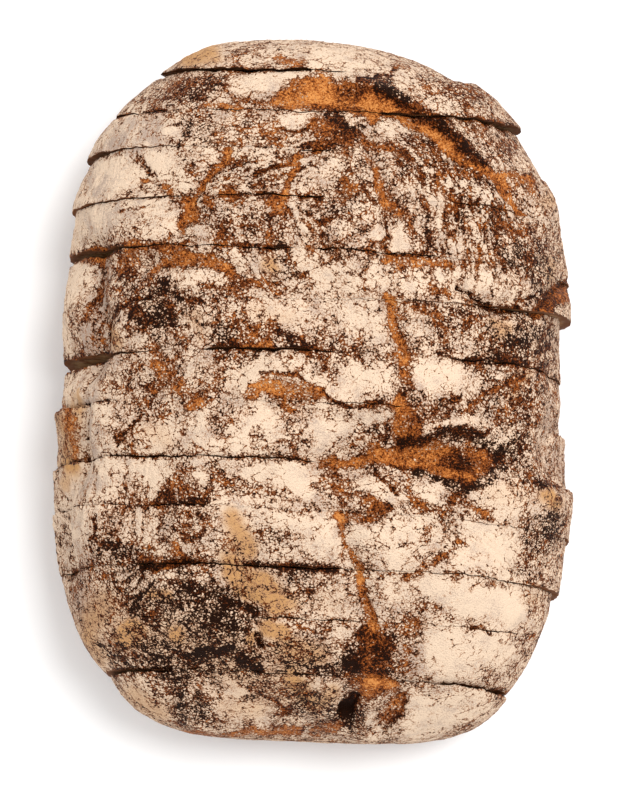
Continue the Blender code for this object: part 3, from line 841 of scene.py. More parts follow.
        K.SCORCH,
        ((246, 561, 3), (276, 566, 3), (300, 569, 5), (320, 568, 4), (334, 571, 2)),
        1.0,
    ),
    Mark(
        "eleventh upright tear",
        K.AMBER,
        ((338, 516, 4), (342, 530, 3), (346, 544, 2.6), (354, 556, 3), (360, 568, 4), (360, 580, 5)),
        1.2,
    ),
    Mark("eleventh rust ledge", K.AMBER, ((334, 516, 4), (352, 517, 4), (370, 518, 3)), 1.0),
    Mark("eleventh cream east", K.HEAP, ((354, 530, 6), (390, 545, 7), (395, 560, 8)), 0.6),
    Mark("eleventh grey specks", K.SPECK, ((372, 545, 8), (408, 546, 4)), 1.5),
    Mark("eleventh brown spot", K.RUST, ((430, 524, 3), (427, 534, 4)), 1.2),
    Mark("eleventh white east", K.HEAP, ((480, 530, 14), (486, 552, 14), (460, 562, 9)), 1.0),
    Mark(
        "eleventh slant",
        K.RUST,
        ((470, 538, 1.6), (456, 541, 2), (446, 554, 3.4), (432, 563, 4), (416, 574, 3)),
        1.3,
    ),
    Mark("eleventh knot", K.RUST, ((408, 578, 5),), 1.5),
    Mark("eleventh flank crackle", K.SPECK, ((545, 548, 9), (530, 540, 7), (552, 538, 6)), 1.3),
    Mark("eleventh speckle spot", K.SPECK, ((522, 568, 7), (532, 566, 6)), 1.9),
    Mark(
        "eleventh right crack",
        K.RUST,
        ((466, 590, 3), (474, 586, 3), (498, 586, 3.4), (508, 588, 2.4)),
        1.1,
    ),
    # The twelfth slice
    Mark("twelfth flank grey", K.GREY, ((80, 595, 14), (92, 610, 14)), 0.8),
    Mark("twelfth flank speckle", K.SPECK, ((108, 580, 12), (112, 602, 13)), 0.9),
    Mark("twelfth flank tan", K.TAN, ((100, 600, 16), (90, 622, 12)), 0.45),
    Mark(
        "twelfth hooked crack",
        K.SCORCH,
        ((133, 612, 4), (135, 600, 3.4), (142, 592, 2), (154, 581, 1.6)),
        1.2,
    ),
    Mark("twelfth upright crack", K.CRACK, ((140, 568, 2), (140, 580, 1.6), (131, 592, 1.6))),
    Mark("twelfth pink island", K.HEAP, ((168, 578, 6), (134, 584, 4)), 0.6),
    Mark("twelfth tan island", K.TAN, ((150, 594, 6), (168, 596, 5)), 1.0),
    Mark("twelfth dark crackle", K.SOOT, ((184, 586, 10), (196, 592, 8)), 0.9),
    Mark("burnt corner", K.SOOT, ((150, 612, 14), (185, 614, 16), (225, 612, 18), (240, 622, 14)), 0.9),
    Mark("burnt corner rim", K.SCORCH, ((222, 600, 4), (240, 601, 4), (252, 608, 4), (256, 614, 3)), 1.1),
    Mark("twelfth tan field", K.TAN, ((232, 570, 9), (238, 586, 8), (262, 590, 12), (272, 606, 9)), 1.2),
    Mark("twelfth tan pleats", K.PLEAT, ((228, 562, 12), (240, 595, 10)), 0.8),
    Mark("twelfth grey cloud", K.SOOT, ((286, 578, 7), (306, 580, 9), (304, 594, 8)), 0.9),
    Mark("twelfth cream field", K.HEAP, ((335, 592, 12), (325, 608, 12), (345, 612, 8)), 0.7),
    Mark("twelfth cream tan", K.TAN, ((318, 600, 14), (340, 604, 10)), 0.3),
    Mark("twelfth white spot", K.HEAP, ((386, 582, 6), (392, 602, 5)), 0.8),
    Mark("twelfth tear", K.TEAR, ((361, 580, 4), (364, 596, 5), (370, 612, 6), (374, 624, 6)), 0.85),
    Mark("twelfth smooth east", K.HEAP, ((430, 586, 9), (450, 596, 14), (488, 602, 16), (510, 610, 12)), 1.3),
    Mark("twelfth specks", K.SPECK, ((430, 606, 8), (414, 612, 6)), 1.2),
    Mark("twelfth flank tan east", K.TAN, ((532, 600, 10),), 0.4),
    # The thirteenth slice
    Mark("burnt field", K.SOOT, ((150, 640, 16), (190, 636, 20), (228, 640, 20), (245, 662, 16)), 1.0),
    Mark("burnt field low", K.SOOT, ((170, 664, 12), (215, 664, 14), (250, 672, 12)), 0.7),
    Mark("burnt tan island", K.TAN, ((132, 630, 9), (128, 640, 8)), 1.3),
    Mark("burnt cream island", K.HEAP, ((175, 634, 5), (178, 612, 4)), 0.8),
    Mark("burnt orange island", K.TAN, ((176, 634, 7),), 0.9),
    Mark("burnt upper island", K.TAN, ((252, 636, 4), (250, 642, 3)), 1.3),
    Mark("burnt and shaded pit", K.PIT, ((258, 636, 3.6), (261, 644, 3)), 0.6),
    Mark("burnt streak", K.SCORCH, ((186, 655, 3), (206, 652, 4), (232, 648, 3)), 1.3),
    Mark("burnt streak low", K.SCORCH, ((236, 660, 4), (256, 664, 6), (262, 672, 4)), 0.9),
    Mark("thirteenth flank", K.DUST, ((104, 655, 6), (112, 668, 6)), 0.9),
    Mark("thirteenth flank line", K.SOOT, ((100, 641, 2), (110, 654, 2.4), (116, 664, 2)), 1.0),
    Mark("thirteenth flank tan", K.TAN, ((92, 640, 8), (104, 660, 8)), 0.5),
    Mark("thirteenth tan", K.TAN, ((268, 628, 9), (282, 632, 7)), 1.3),
    Mark("thirteenth tan field", K.TAN, ((290, 648, 14), (318, 655, 12)), 0.8),
    Mark("thirteenth speckle", K.SPECK, ((285, 648, 12), (312, 640, 11), (298, 662, 10)), 1.2),
    # painted shade along the open thirteenth cut
    Mark("thirteenth dark by the cut", K.SOOT, ((292, 668, 6), (312, 666, 8), (335, 672, 5)), 0.8),
    Mark("thirteenth cream", K.DUST, ((340, 640, 9), (338, 655, 8))),
    Mark("brown field", K.RUST, ((374, 630, 10), (376, 646, 16), (372, 664, 14), (374, 680, 11)), 1.3),
    Mark("brown field dark", K.SCORCH, ((392, 640, 8), (384, 654, 9), (364, 632, 5)), 0.6),
    Mark("brown field branch", K.RUST, ((402, 632, 5), (418, 624, 6)), 1.3),
    Mark("brown field burnt tip", K.SCORCH, ((347, 668, 5), (356, 669, 4)), 1.2),
    Mark("brown field foot", K.AMBER, ((372, 683, 4), (390, 683, 5), (400, 684, 3)), 1.1),
    Mark("thirteenth grey speckle", K.SPECK, ((410, 654, 9), (408, 668, 7)), 1.2),
    Mark("thirteenth grey shade", K.GREY, ((408, 655, 10), (414, 670, 7)), 1.0),
    Mark(
        "thirteenth smooth east",
        K.HEAP,
        ((448, 650, 18), (470, 650, 20), (455, 668, 14), (500, 648, 16)),
        1.3,
    ),
    Mark("thirteenth faint specks", K.SPECK, ((486, 662, 8),), 0.7),
    Mark("thirteenth cracks", K.CRACK, ((470, 627, 1.6), (481, 625, 1.6), (490, 633, 1.6))),
    Mark("thirteenth brown flank", K.SPECK, ((508, 642, 6), (525, 636, 5)), 0.8),
    # The last slice
    Mark("last west flour", K.DUST, ((140, 690, 10), (155, 700, 12), (160, 712, 8)), 1.0),
    Mark("last west tan", K.TAN, ((135, 695, 12), (160, 712, 12)), 0.6),
    Mark("last dark speckle", K.SOOT, ((174, 682, 7), (184, 700, 8), (184, 716, 9), (206, 712, 7)), 0.9),
    Mark("last white chunks", K.HEAP, ((206, 688, 6), (214, 694, 5), (238, 692, 7), (228, 680, 5)), 0.9),
    Mark("last cream field", K.DUST, ((224, 706, 8), (255, 712, 11), (262, 722, 7)), 1.2),
    Mark("last tan field", K.TAN, ((225, 710, 10), (255, 712, 10)), 0.35),
    Mark("last crack west", K.SCORCH, ((240, 702, 2), (256, 694, 3), (264, 692, 2)), 1.0),
    Mark("last crack", K.CRACK, ((262, 696, 1.6), (276, 702, 2), (286, 716, 2), (292, 716, 1.6))),
    Mark("last crackle", K.SPECK, ((276, 690, 9), (300, 690, 9), (308, 712, 10), (282, 712, 7)), 1.3),
    Mark("last pale islands", K.HEAP, ((262, 676, 4), (290, 676, 4), (338, 690, 6), (296, 724, 5)), 0.5),
    Mark("last tan islands", K.TAN, ((292, 676, 8), (316, 712, 7), (334, 690, 8)), 0.7),
    # painted shade: this pit is painted black for the shade inside it
    Mark("last hole", K.PIT, ((356, 698, 5), (348, 708, 8), (346, 714, 7)), 1.0),
    Mark("last hole shade", K.SOOT, ((356, 712, 8), (352, 722, 8)), 0.8),
    Mark("last rust", K.RUST, ((366, 690, 6), (392, 690, 7), (398, 702, 8), (388, 716, 8)), 1.1),
    Mark("last grey lobe", K.DUST, ((374, 700, 6), (372, 716, 5)), 1.0),
    Mark("last red lobe", K.RUST, ((358, 716, 5), (362, 726, 5)), 0.7),
    Mark("last dark fold", K.FOLD, ((406, 694, 2), (402, 712, 3), (392, 722, 2.4), (384, 728, 1.6)), 0.9),
    Mark("last pink lobe", K.HEAP, ((372, 732, 5), (392, 726, 4)), 0.5),
    Mark("last orange wedge", K.AMBER, ((338, 727, 4), (328, 731, 5), (312, 735, 3)), 1.1),
    Mark("last rim", K.AMBER, ((186, 732, 3), (215, 731, 3.4), (250, 731, 3.4), (300, 734, 3)), 1.0),
    Mark("last smooth east", K.HEAP, ((430, 712, 20), (450, 704, 20), (480, 702, 14), (415, 730, 12)), 1.2),
    Mark("last faint specks", K.SPECK, ((430, 698, 7), (492, 706, 5)), 0.7),
    # Broad washes over several slices
    # partly flour, partly painted light: this wash brightens the west flank, which the key light reaches less
    Mark("north west flank", K.DUST, ((128, 122, 16), (104, 160, 20), (92, 215, 20)), 1.3),
    Mark("north west field", K.DUST, ((165, 150, 22), (215, 142, 16), (240, 140, 20)), 0.7),
    # partly flour, partly painted light: the west edge washes brighten a side the key light reaches less
    Mark("west edge north", K.DUST, ((72, 225, 9), (70, 265, 9), (66, 298, 12), (64, 335, 12)), 1.5),
    Mark("west edge south", K.DUST, ((70, 470, 11), (64, 520, 12)), 1.2),
    Mark("west field south", K.DUST, ((110, 470, 20), (150, 470, 16)), 0.7),
    Mark("north east pocket", K.DUST, ((430, 185, 14),), 0.7),
    Mark("ear shade", K.SHADE, ((346, 95, 9), (374, 94, 11), (400, 102, 9)), 0.9),
    Mark("long tear foot shade", K.SHADE, ((404, 384, 6), (405, 402, 8)), 0.9),
    Mark("west side gold", K.AMBER, ((66, 412, 6), (70, 430, 7), (68, 452, 7)), 0.8),
    # painted shade: the dark groove where the upper crust's edge overhangs the side
    Mark("west side groove", K.FOLD, ((85, 372, 2), (87, 400, 2.4), (85, 440, 2.4), (80, 462, 1.6)), 0.6),
    Mark("south east streaks", K.STREAK, ((392, 486, 30), (440, 520, 34), (500, 560, 30))),
    Mark(
        "north west streaks",
        K.STREAK,
        ((140, 196, 22), (188, 190, 24), (240, 172, 26), (312, 152, 22)),
        1.3,
    ),
    Mark("west streaks", K.STREAK, ((72, 372, 24), (70, 470, 26), (78, 560, 26))),
    Mark("west flank streaks", K.STREAK, ((92, 235, 20), (104, 170, 24), (138, 118, 20)), 1.25),
    Mark("south west streaks", K.STREAK, ((120, 660, 18), (150, 712, 20)), 0.9),
    Mark("eye heart shade", K.SHADE, ((462, 462, 14),), 1.2),
    Mark(
        "eye rim shade",
        K.SHADE,
        ((478, 440, 5), (498, 446, 7), (502, 464, 7), (484, 482, 6), (446, 484, 5), (420, 472, 4)),
        1.4,
    ),
    Mark("north east grain", K.SPECK, ((475, 180, 18), (434, 92, 15), (462, 94, 13)), 1.4),
    Mark("east edge shade", K.SOOT, ((506, 252, 14), (542, 262, 14), (550, 300, 12)), 1.0),
    Mark("east low edge shade", K.SOOT, ((544, 516, 12), (546, 538, 12)), 0.9),
    Mark("east shade", K.SOOT, ((525, 338, 20), (500, 350, 18)), 1.0),
    Mark("east grain", K.SPECK, ((515, 380, 22), (490, 425, 20)), 1.2),
    Mark("eye east shade", K.SOOT, ((505, 450, 16),), 0.7),
    Mark("west patch shade", K.SOOT, ((160, 302, 20), (192, 315, 16)), 0.6),
    Mark("middle wash", K.DUST, ((285, 308, 16), (325, 305, 20), (400, 303, 16)), 0.8),
    Mark("middle wash south", K.DUST, ((235, 385, 14), (280, 388, 12), (318, 386, 14)), 0.8),
    Mark("tear side wash", K.DUST, ((402, 345, 14), (374, 326, 11)), 0.6),
    Mark("centre wash", K.DUST, ((330, 440, 16),), 0.5),
    Mark("tan wash", K.DUST, ((240, 512, 24),), 0.9),
    Mark("south east wash", K.HEAP, ((400, 515, 20), (430, 505, 14)), 0.5),
    Mark("south middle wash", K.HEAP, ((285, 545, 16), (330, 542, 22), (392, 548, 20)), 0.5),
    Mark("south east edge wash", K.HEAP, ((508, 545, 18), (515, 590, 16), (492, 622, 18)), 0.5),
    Mark("south field wash", K.HEAP, ((400, 592, 16),), 0.5),
    Mark("south west shade", K.SOOT, ((110, 548, 14), (132, 575, 18), (180, 582, 15), (226, 594, 22)), 0.8),
    Mark("south west low shade", K.SOOT, ((125, 650, 18), (160, 655, 16)), 0.9),
    Mark("south low shade", K.SOOT, ((280, 665, 18), (322, 665, 16), (350, 660, 12)), 0.7),
    Mark("heel west shade", K.SOOT, ((165, 696, 16), (202, 702, 18)), 0.8),
    Mark("heel middle shade", K.SOOT, ((308, 705, 16), (342, 712, 16)), 1.3),
    Mark("south west glimmer", K.DUST, ((190, 625, 14),), 0.6),
    Mark("crescent sides", K.DUST, ((256, 374, 13), (468, 370, 16)), 1.1),
    Mark("centre west wash", K.DUST, ((262, 418, 16), (228, 455, 16), (325, 425, 14), (346, 410, 13)), 0.8),
    Mark("south east upper wash", K.DUST, ((432, 540, 14), (505, 545, 14), (428, 655, 14)), 0.8),
    Mark("middle shade", K.SPECK, ((225, 225, 16), (232, 345, 16), (240, 305, 14)), 0.9),
    Mark("tear north shade", K.SPECK, ((352, 180, 16), (356, 215, 14)), 0.9),
    Mark("south shade", K.SOOT, ((352, 662, 15),), 1.2),
    Mark("south west lowest shade", K.SOOT, ((150, 665, 16), (198, 662, 16)), 0.6),
    Mark("heel north wash", K.DUST, ((190, 58, 12), (262, 52, 14), (378, 60, 15)), 0.9),
    Mark("last inner wash", K.DUST, ((276, 632, 14),), 0.8),
    Mark("south burnt shade", K.SOOT, ((228, 622, 14),), 0.8),
    Mark("ear halo", K.RUST, ((312, 88, 10), (372, 108, 12), (424, 98, 12)), 0.8),
    Mark("north west brown", K.RUST, ((172, 90, 10), (192, 82, 9)), 0.8),
    Mark("long tear halo", K.RUST, ((392, 300, 11), (400, 345, 13), (406, 395, 13)), 0.65),
    Mark("tear pool", K.RUST, ((374, 645, 14), (380, 668, 17)), 1.3),
    Mark("tear pool shade", K.SHADE, ((372, 648, 13), (378, 666, 15)), 1.15),
    Mark("north gold wash", K.GOLD, ((210, 95, 22), (290, 112, 38)), 0.8),
    Mark("burnt pillow shade", K.SOOT, ((144, 598, 15), (224, 616, 20)), 0.55),
    Mark("tan field", K.TAN, ((230, 558, 12), (262, 584, 14), (288, 604, 11)), 0.9),
    Mark("east pale speckle", K.SPECK, ((442, 346, 15),), 1.4),
    Mark("west pale speckle", K.SPECK, ((236, 352, 14), (264, 326, 16)), 1.2),
    Mark("middle pale speckle", K.SPECK, ((328, 350, 14), (362, 352, 13)), 1.0),
    Mark("last tear halo", K.RUST, ((356, 660, 12), (362, 702, 12)), 0.8),
    Mark("crescent gold wash", K.GOLD, ((264, 384, 9), (304, 382, 9)), 1.2),
    # partly flour, partly painted light: these washes brighten the west flank, which the key light reaches
    # less
    Mark("west edge middle wash", K.DUST, ((78, 382, 20), (94, 418, 24), (88, 490, 22), (66, 542, 18)), 1.5),
    Mark("north west inner wash", K.DUST, ((136, 178, 15), (108, 180, 16), (102, 216, 18)), 1.7),
    Mark("ninth inner wash", K.DUST, ((188, 425, 14), (152, 464, 16), (182, 452, 15)), 0.9),
    Mark("third wash", K.DUST, ((236, 146, 10), (264, 152, 17)), 0.8),
    Mark("sixth wash", K.DUST, ((234, 264, 13), (272, 262, 14), (314, 262, 14)), 0.7),
    Mark("tenth wash", K.DUST, ((312, 466, 14), (276, 504, 15)), 0.9),
    Mark("south east field wash", K.DUST, ((428, 500, 17), (396, 546, 14), (424, 574, 17)), 1.1),
    Mark("south east rim wash", K.DUST, ((500, 492, 13), (508, 546, 15), (514, 625, 13)), 0.9),
    Mark("last east wash", K.DUST, ((312, 664, 13),), 0.7),
    Mark("last south east wash", K.DUST, ((436, 664, 15),), 1.0),
    Mark("east wash north", K.DUST, ((464, 294, 17),), 1.3),
    Mark("east wash south", K.DUST, ((480, 394, 13),), 0.9),
    Mark("north east wash", K.DUST, ((434, 186, 12), (434, 226, 13)), 0.7),
    Mark("south west tan wash", K.TAN, ((112, 625, 26), (190, 640, 34), (290, 690, 28)), 0.45),
)


OPENINGS: tuple[Opening, ...] = (
    Opening(1, 155, 312, 0.42),
    Opening(1, 312, 345, 0.14),
    Opening(2, 105, 136, 0.36),
    Opening(2, 136, 168, 0.18),
    Opening(2, 212, 380, 0.14),
    Opening(2, 380, 530, 0.3),
    Opening(3, 80, 108, 0.4),
    Opening(3, 300, 332, 0.18),
    Opening(3, 470, 505, 0.14),
    Opening(4, 85, 182, 0.13),
    Opening(4, 220, 256, 0.13),
    Opening(4, 256, 324, 0.24),
    Opening(4, 455, 515, 0.16),
    Opening(5, 60, 122, 0.4),
    Opening(5, 122, 262, 0.15),
    Opening(5, 262, 292, 0.3),
    Opening(5, 318, 346, 0.26),
    Opening(5, 346, 436, 0.18),
    Opening(6, 466, 530, 0.12),
    Opening(7, 50, 112, 0.3),
    Opening(7, 206, 312, 0.38),
    Opening(7, 312, 336, 0.22),
    Opening(7, 460, 560, 0.22),
    Opening(8, 50, 112, 0.2),
    Opening(8, 326, 402, 0.15),
    Opening(9, 50, 172, 0.26),
    Opening(9, 172, 312, 0.2),
    Opening(10, 50, 102, 0.14),
    Opening(10, 102, 150, 0.1),
    Opening(10, 150, 206, 0.22),
    Opening(11, 50, 96, 0.16),
    Opening(11, 135, 262, 0.22),
    Opening(11, 262, 340, 0.3),
    Opening(11, 340, 404, 0.11),
    Opening(11, 425, 560, 0.09),
    Opening(12, 130, 162, 0.12),
    Opening(12, 248, 362, 0.15),
    Opening(12, 470, 514, 0.14),
    Opening(13, 98, 170, 0.3),
    Opening(13, 236, 330, 0.12),
    Opening(13, 395, 440, 0.1),
    Opening(13, 440, 525, 0.3),
)


@dataclass
class CrustPainter:
    """Lays flour, toast, char and relief over the crust, mark by mark.

    Each warp is a push in pixels and the size of its noise in millimetres. A mark of one point is drawn as a
    run of dot_length, and reaches no further than mark_reach radii. Both fades are heights in millimetres.
    """

    survey: Survey
    marks: tuple[Mark, ...]
    base_flour: float = 0.775
    base_toast: float = 0.13
    base_cream: float = 0.6
    base_crag: float = 0.45
    warps: tuple[tuple[float, float], ...] = ((2.8, 5.0), (1.6, 1.6))
    warp_offset: tuple[float, float, float] = (211.0, -57.0, 33.0)
    dot_length: float = 0.5
    mark_reach: float = 2.0
    pleat_width: float = 5.5
    pleat_length: float = 40.0
    pleat_level: float = 0.37
    pleat_sharpness: float = 2.2
    # pleat_bare_and_shade: flour taken from the folds, partly bare crust and partly painted shade
    pleat_bare_and_shade: float = 0.45
    pleat_even: float = 0.35
    pleat_depth: float = 0.3
    marks_fade: tuple[float, float] = (6.0, 24.0)
    foot_fade: tuple[float, float] = (15.0, 3.0)
    foot: Touch = Touch(flour=-0.5, toast=0.22)
    grain: Grain = field(default_factory=lambda: Grain(21))

    def warped(self, points: np.ndarray) -> tuple[np.ndarray, np.ndarray]:
        """Pixels of the points, pushed about by noise so that no mark has a drawn edge.

        Args:
            points: an array of points, in millimetres.

        Returns:
            Pixels across and down.
        """
        across, down = self.survey.seen(points)
        far = points + np.array(self.warp_offset)
        for push, cell in self.warps:
            across = across + push * self.grain.at(points, cell)
            down = down + push * self.grain.at(far, cell)
        return across, down

    def mask(self, mark: Mark, across: np.ndarray, down: np.ndarray) -> np.ndarray:
        """How strongly a mark covers each point: 1 inside its radius, easing to 0 outside.

        Args:
            mark: the mark, whose radius runs evenly from point to point.
            across: pixels across.
            down: pixels down.

        Returns:
            Shares from 0 to 1.
        """
        path = np.asarray(mark.points, float)
        if len(path) == 1:
            path = np.vstack([path, path + [self.dot_length, 0.0, 0.0]])
        best = np.full(across.shape, np.inf)
        for start, end in zip(path[:-1], path[1:]):
            run = end[:2] - start[:2]
            along = (across - start[0]) * run[0] + (down - start[1]) * run[1]
            share = np.clip(along / (run @ run), 0.0, 1.0)
            away = np.hypot(across - start[0] - share * run[0], down - start[1] - share * run[1])
            best = np.minimum(best, away / (start[2] + (end[2] - start[2]) * share))
        soft = mark.kind.value.soft
        return smooth_step(best, 1.0 + soft, 1.0 - soft)

    def pleats(self, mark: Mark, across: np.ndarray, down: np.ndarray) -> np.ndarray:
        """Narrow folds that run the way the mark does: noise drawn out along it, sharpened into ridges.

        Args:
            mark: the mark, from whose first point to its last the folds run.
            across: pixels across.
            down: pixels down.

        Returns:
            Numbers from 0 in the folds to 1 between them.
        """
        way = np.subtract(mark.points[-1][:2], mark.points[0][:2]).astype(float)
        way /= np.linalg.norm(way)
        size = mark.kind.value.pleat_size
        along = (across * way[0] + down * way[1]) / (self.pleat_length * size)
        beside = (across * way[1] - down * way[0]) / (self.pleat_width * size)
        spots = np.stack([beside, along, np.full(across.shape, self.pleat_level)], axis=-1)
        return np.clip(np.abs(self.grain.at(spots, 1.0)) * self.pleat_sharpness, 0.0, 1.0)

    def look(self, points: np.ndarray) -> dict[str, np.ndarray]:
        """The crust's looks at each point.

        Args:
            points: an array of points, in millimetres.

        Returns:
            Arrays of flour, toast, char, cream, tan, height and crag.
        """
        across, down = self.warped(points)
        names = ("flour", "toast", "char", "cream", "tan", "height", "crag")
        looks = {name: np.zeros(across.shape) for name in names}
        looks["flour"] += self.base_flour
        looks["toast"] += self.base_toast
        looks["cream"] += self.base_cream
        looks["crag"] += self.base_crag
        foot = smooth_step(points[..., 2], *self.foot_fade)
        looks["flour"] += self.foot.flour * foot
        looks["toast"] += self.foot.toast * foot
        marked = smooth_step(points[..., 2], *self.marks_fade)
        for mark in self.marks:
            path = np.asarray(mark.points, float)
            reach = self.mark_reach * path[:, 2].max()
            near = (
                (across > path[:, 0].min() - reach)
                & (across < path[:, 0].max() + reach)
                & (down > path[:, 1].min() - reach)
                & (down < path[:, 1].max() + reach)
            )
            if not near.any():
                continue
            share = mark.strength * marked[near] * self.mask(mark, across[near], down[near])
            touch = mark.kind.value
            for name in names:
                amount = getattr(touch, name)
                if amount:
                    looks[name][near] += amount * share
            # painted shade: folds sink and lose flour, so they darken as if shaded, while flour is added
            # between them
            if touch.pleat:
                fold = 1.0 - self.pleats(mark, across[near], down[near])
                looks["flour"][near] -= touch.pleat * self.pleat_bare_and_shade * share * (fold - self.pleat_even)
                looks["height"][near] -= touch.pleat * self.pleat_depth * share * fold
        return looks


@dataclass(frozen=True)
class BareFinish:
    """Colours of the bare crust, from scorched to golden."""

    scorched: Colour = linear(28, 9, 1)
    dark: Colour = linear(74, 29, 3)
    brown: Colour = linear(116, 60, 24)
    orange: Colour = linear(168, 94, 38)
    golden: Colour = linear(208, 138, 74)


@dataclass(frozen=True)
class FlourFinish:
    """Colours of the flour: a thin film of it, and where it lies thick grey, cream or toasted tan."""

    film: Colour = linear(172, 126, 94)
    grey: Colour = linear(174, 152, 137)
    cream: Colour = linear(224, 198, 172)
    tan: Colour = linear(190, 143, 94)


@dataclass(frozen=True)
class CrumbFinish:
    """Colours of the cut faces."""

    rim: Colour = linear(104, 60, 28)
    crumb: Colour = linear(196, 158, 112)
    # painted shade: the darker colour laid in patches for the shade inside the crumb's holes
    hole: Colour = linear(150, 104, 62)


class NodeTree:
    """A short way of adding and joining shader nodes."""

    def __init__(self, tree: bpy.types.NodeTree) -> None:
        """Keeps the tree.

        Args:
            tree: the node tree to add to.
        """
        self.tree = tree

    def add(self, kind: str, **settings: object) -> bpy.types.Node:
        """Adds a node.

        Args:
            kind: the node's type name.
            settings: values for its properties, such as operation.

        Returns:
            The node.
        """
        node = self.tree.nodes.new(kind)
        for name, value in settings.items():
            setattr(node, name, value)
        return node

    def join(self, source: bpy.types.NodeSocket, target: bpy.types.NodeSocket) -> None:
        """Links two sockets."""
        self.tree.links.new(source, target)

    def feed(self, socket: bpy.types.NodeSocket, value: object) -> None:
        """Gives a socket a link or a plain value.

        Args:
            socket: the socket to feed.
            value: another socket, a number or a colour.
        """
        if isinstance(value, bpy.types.NodeSocket):
            self.join(value, socket)
        else:
            socket.default_value = value

    def scaled(self, value: object, factor: object, offset: object) -> bpy.types.NodeSocket:
        """A value times a factor, plus an offset.

        Args:
            value: a socket or a number.
            factor: a socket or a number.
            offset: a socket or a number.

        Returns:
            The result.
        """
        node = self.add("ShaderNodeMath", operation="MULTIPLY_ADD")
        for socket, fed in zip(node.inputs, (value, factor, offset)):
            self.feed(socket, fed)
        return node.outputs[0]

    def ease(self, value: object, low: float, high: float) -> bpy.types.NodeSocket:
        """A smooth step from 0 at low to 1 at high.

        Args:
            value: a socket or a number.
            low: where the step starts.
            high: where it ends.

        Returns:
            The result.
        """
        node = self.add("ShaderNodeMapRange", interpolation_type="SMOOTHSTEP")
        self.feed(node.inputs["Value"], value)
        node.inputs["From Min"].default_value = low
        node.inputs["From Max"].default_value = high
        return node.outputs["Result"]

    def mix(self, share: object, first: object, second: object) -> bpy.types.NodeSocket:
        """A mix of two colours.

        Args:
            share: how much of the second.
            first: a socket or a colour.
            second: a socket or a colour.

        Returns:
            The mixed colour.
        """
        node = self.add("ShaderNodeMix", data_type="RGBA")
        self.feed(node.inputs[0], share)
        self.feed(node.inputs[6], first)
        self.feed(node.inputs[7], second)
        return node.outputs[2]

    def grain(self, group: bpy.types.NodeTree) -> bpy.types.Node:
        """Adds the group of grain values, placed by the object's own coordinates.

        Args:
            group: the node group.

        Returns:
            The group's node.
        """
        node = self.add("ShaderNodeGroup", node_tree=group)
        self.join(self.add("ShaderNodeTexCoord").outputs["Object"], node.inputs["Place"])
        return node

    def grained(
        self, grain: bpy.types.Node, shares: tuple[tuple[str, float], ...], start: object
    ) -> bpy.types.NodeSocket:
        """A value with shares of the grain added to it.

        Args:
            grain: the group's node.
            shares: the name of each grain value and how much of it is added.
            start: the socket or number to begin with.

        Returns:
            The result.
        """
        total = start
        for name, share in shares:
            total = self.scaled(grain.outputs[name], share, total)
        return total

    def bump(self, shader: bpy.types.Node, height: bpy.types.NodeSocket, depth_mm: float) -> None:
        """Gives a shader fine bumps.

        Args:
            shader: the shader.
            height: the bumps' height as a share.
            depth_mm: the height of a whole share.
        """
        node = self.add("ShaderNodeBump")
        node.inputs["Distance"].default_value = depth_mm * MM
        self.join(height, node.inputs["Height"])
        self.join(node.outputs["Normal"], shader.inputs["Normal"])

    def attribute(self, name: str) -> bpy.types.NodeSocket:
        """The value of one of the mesh's own attributes."""
        return self.add("ShaderNodeAttribute", attribute_name=name).outputs["Fac"]

    def noise(self, place: object, cell_mm: float, detail: float) -> bpy.types.NodeSocket:
        """Noise of a size given in millimetres, shifted to lie about -0.5 to 0.5.

        Args:
            place: the coordinates.
            cell_mm: the size of its largest cells.
            detail: how many finer layers it has.

        Returns:
            Its value.
        """
        node = self.add("ShaderNodeTexNoise")
        self.feed(node.inputs["Vector"], place)
        node.inputs["Scale"].default_value = 1.0 / (cell_mm * MM)
        node.inputs["Detail"].default_value = detail
        return self.scaled(node.outputs["Fac"], 1.0, -0.5)

    def cells(
        self, place: object, cell_mm: float, flatness: float, bend_detail: float = 3.0
    ) -> bpy.types.NodeSocket:
        """Distance to the nearest edge between cells whose edges are bent by noise of their own size.

        Args:
            place: the coordinates.
            cell_mm: the size of a cell.
            flatness: how much the cells are drawn out across the loaf: 1 for not at all, less for more.
            bend_detail: how many finer layers the bending noise has.

        Returns:
            The distance, as a share of a cell's size.
        """
        bend = self.add("ShaderNodeTexNoise")
        self.feed(bend.inputs["Vector"], place)
        bend.inputs["Scale"].default_value = 1.0 / (cell_mm * MM)
        bend.inputs["Detail"].default_value = bend_detail
        bent = self.add("ShaderNodeVectorMath", operation="MULTIPLY_ADD")
        self.feed(bent.inputs[0], bend.outputs["Color"])
        bent.inputs[1].default_value = (cell_mm * MM,) * 3
        self.feed(bent.inputs[2], place)
        drawn = self.add("ShaderNodeVectorMath", operation="MULTIPLY")
        self.feed(drawn.inputs[0], bent.outputs["Vector"])
        drawn.inputs[1].default_value = (flatness, 1.0, 1.0)
        node = self.add("ShaderNodeTexVoronoi", feature="DISTANCE_TO_EDGE")
        self.feed(node.inputs["Vector"], drawn.outputs["Vector"])
        node.inputs["Scale"].default_value = 1.0 / (cell_mm * MM)
        return node.outputs["Distance"]


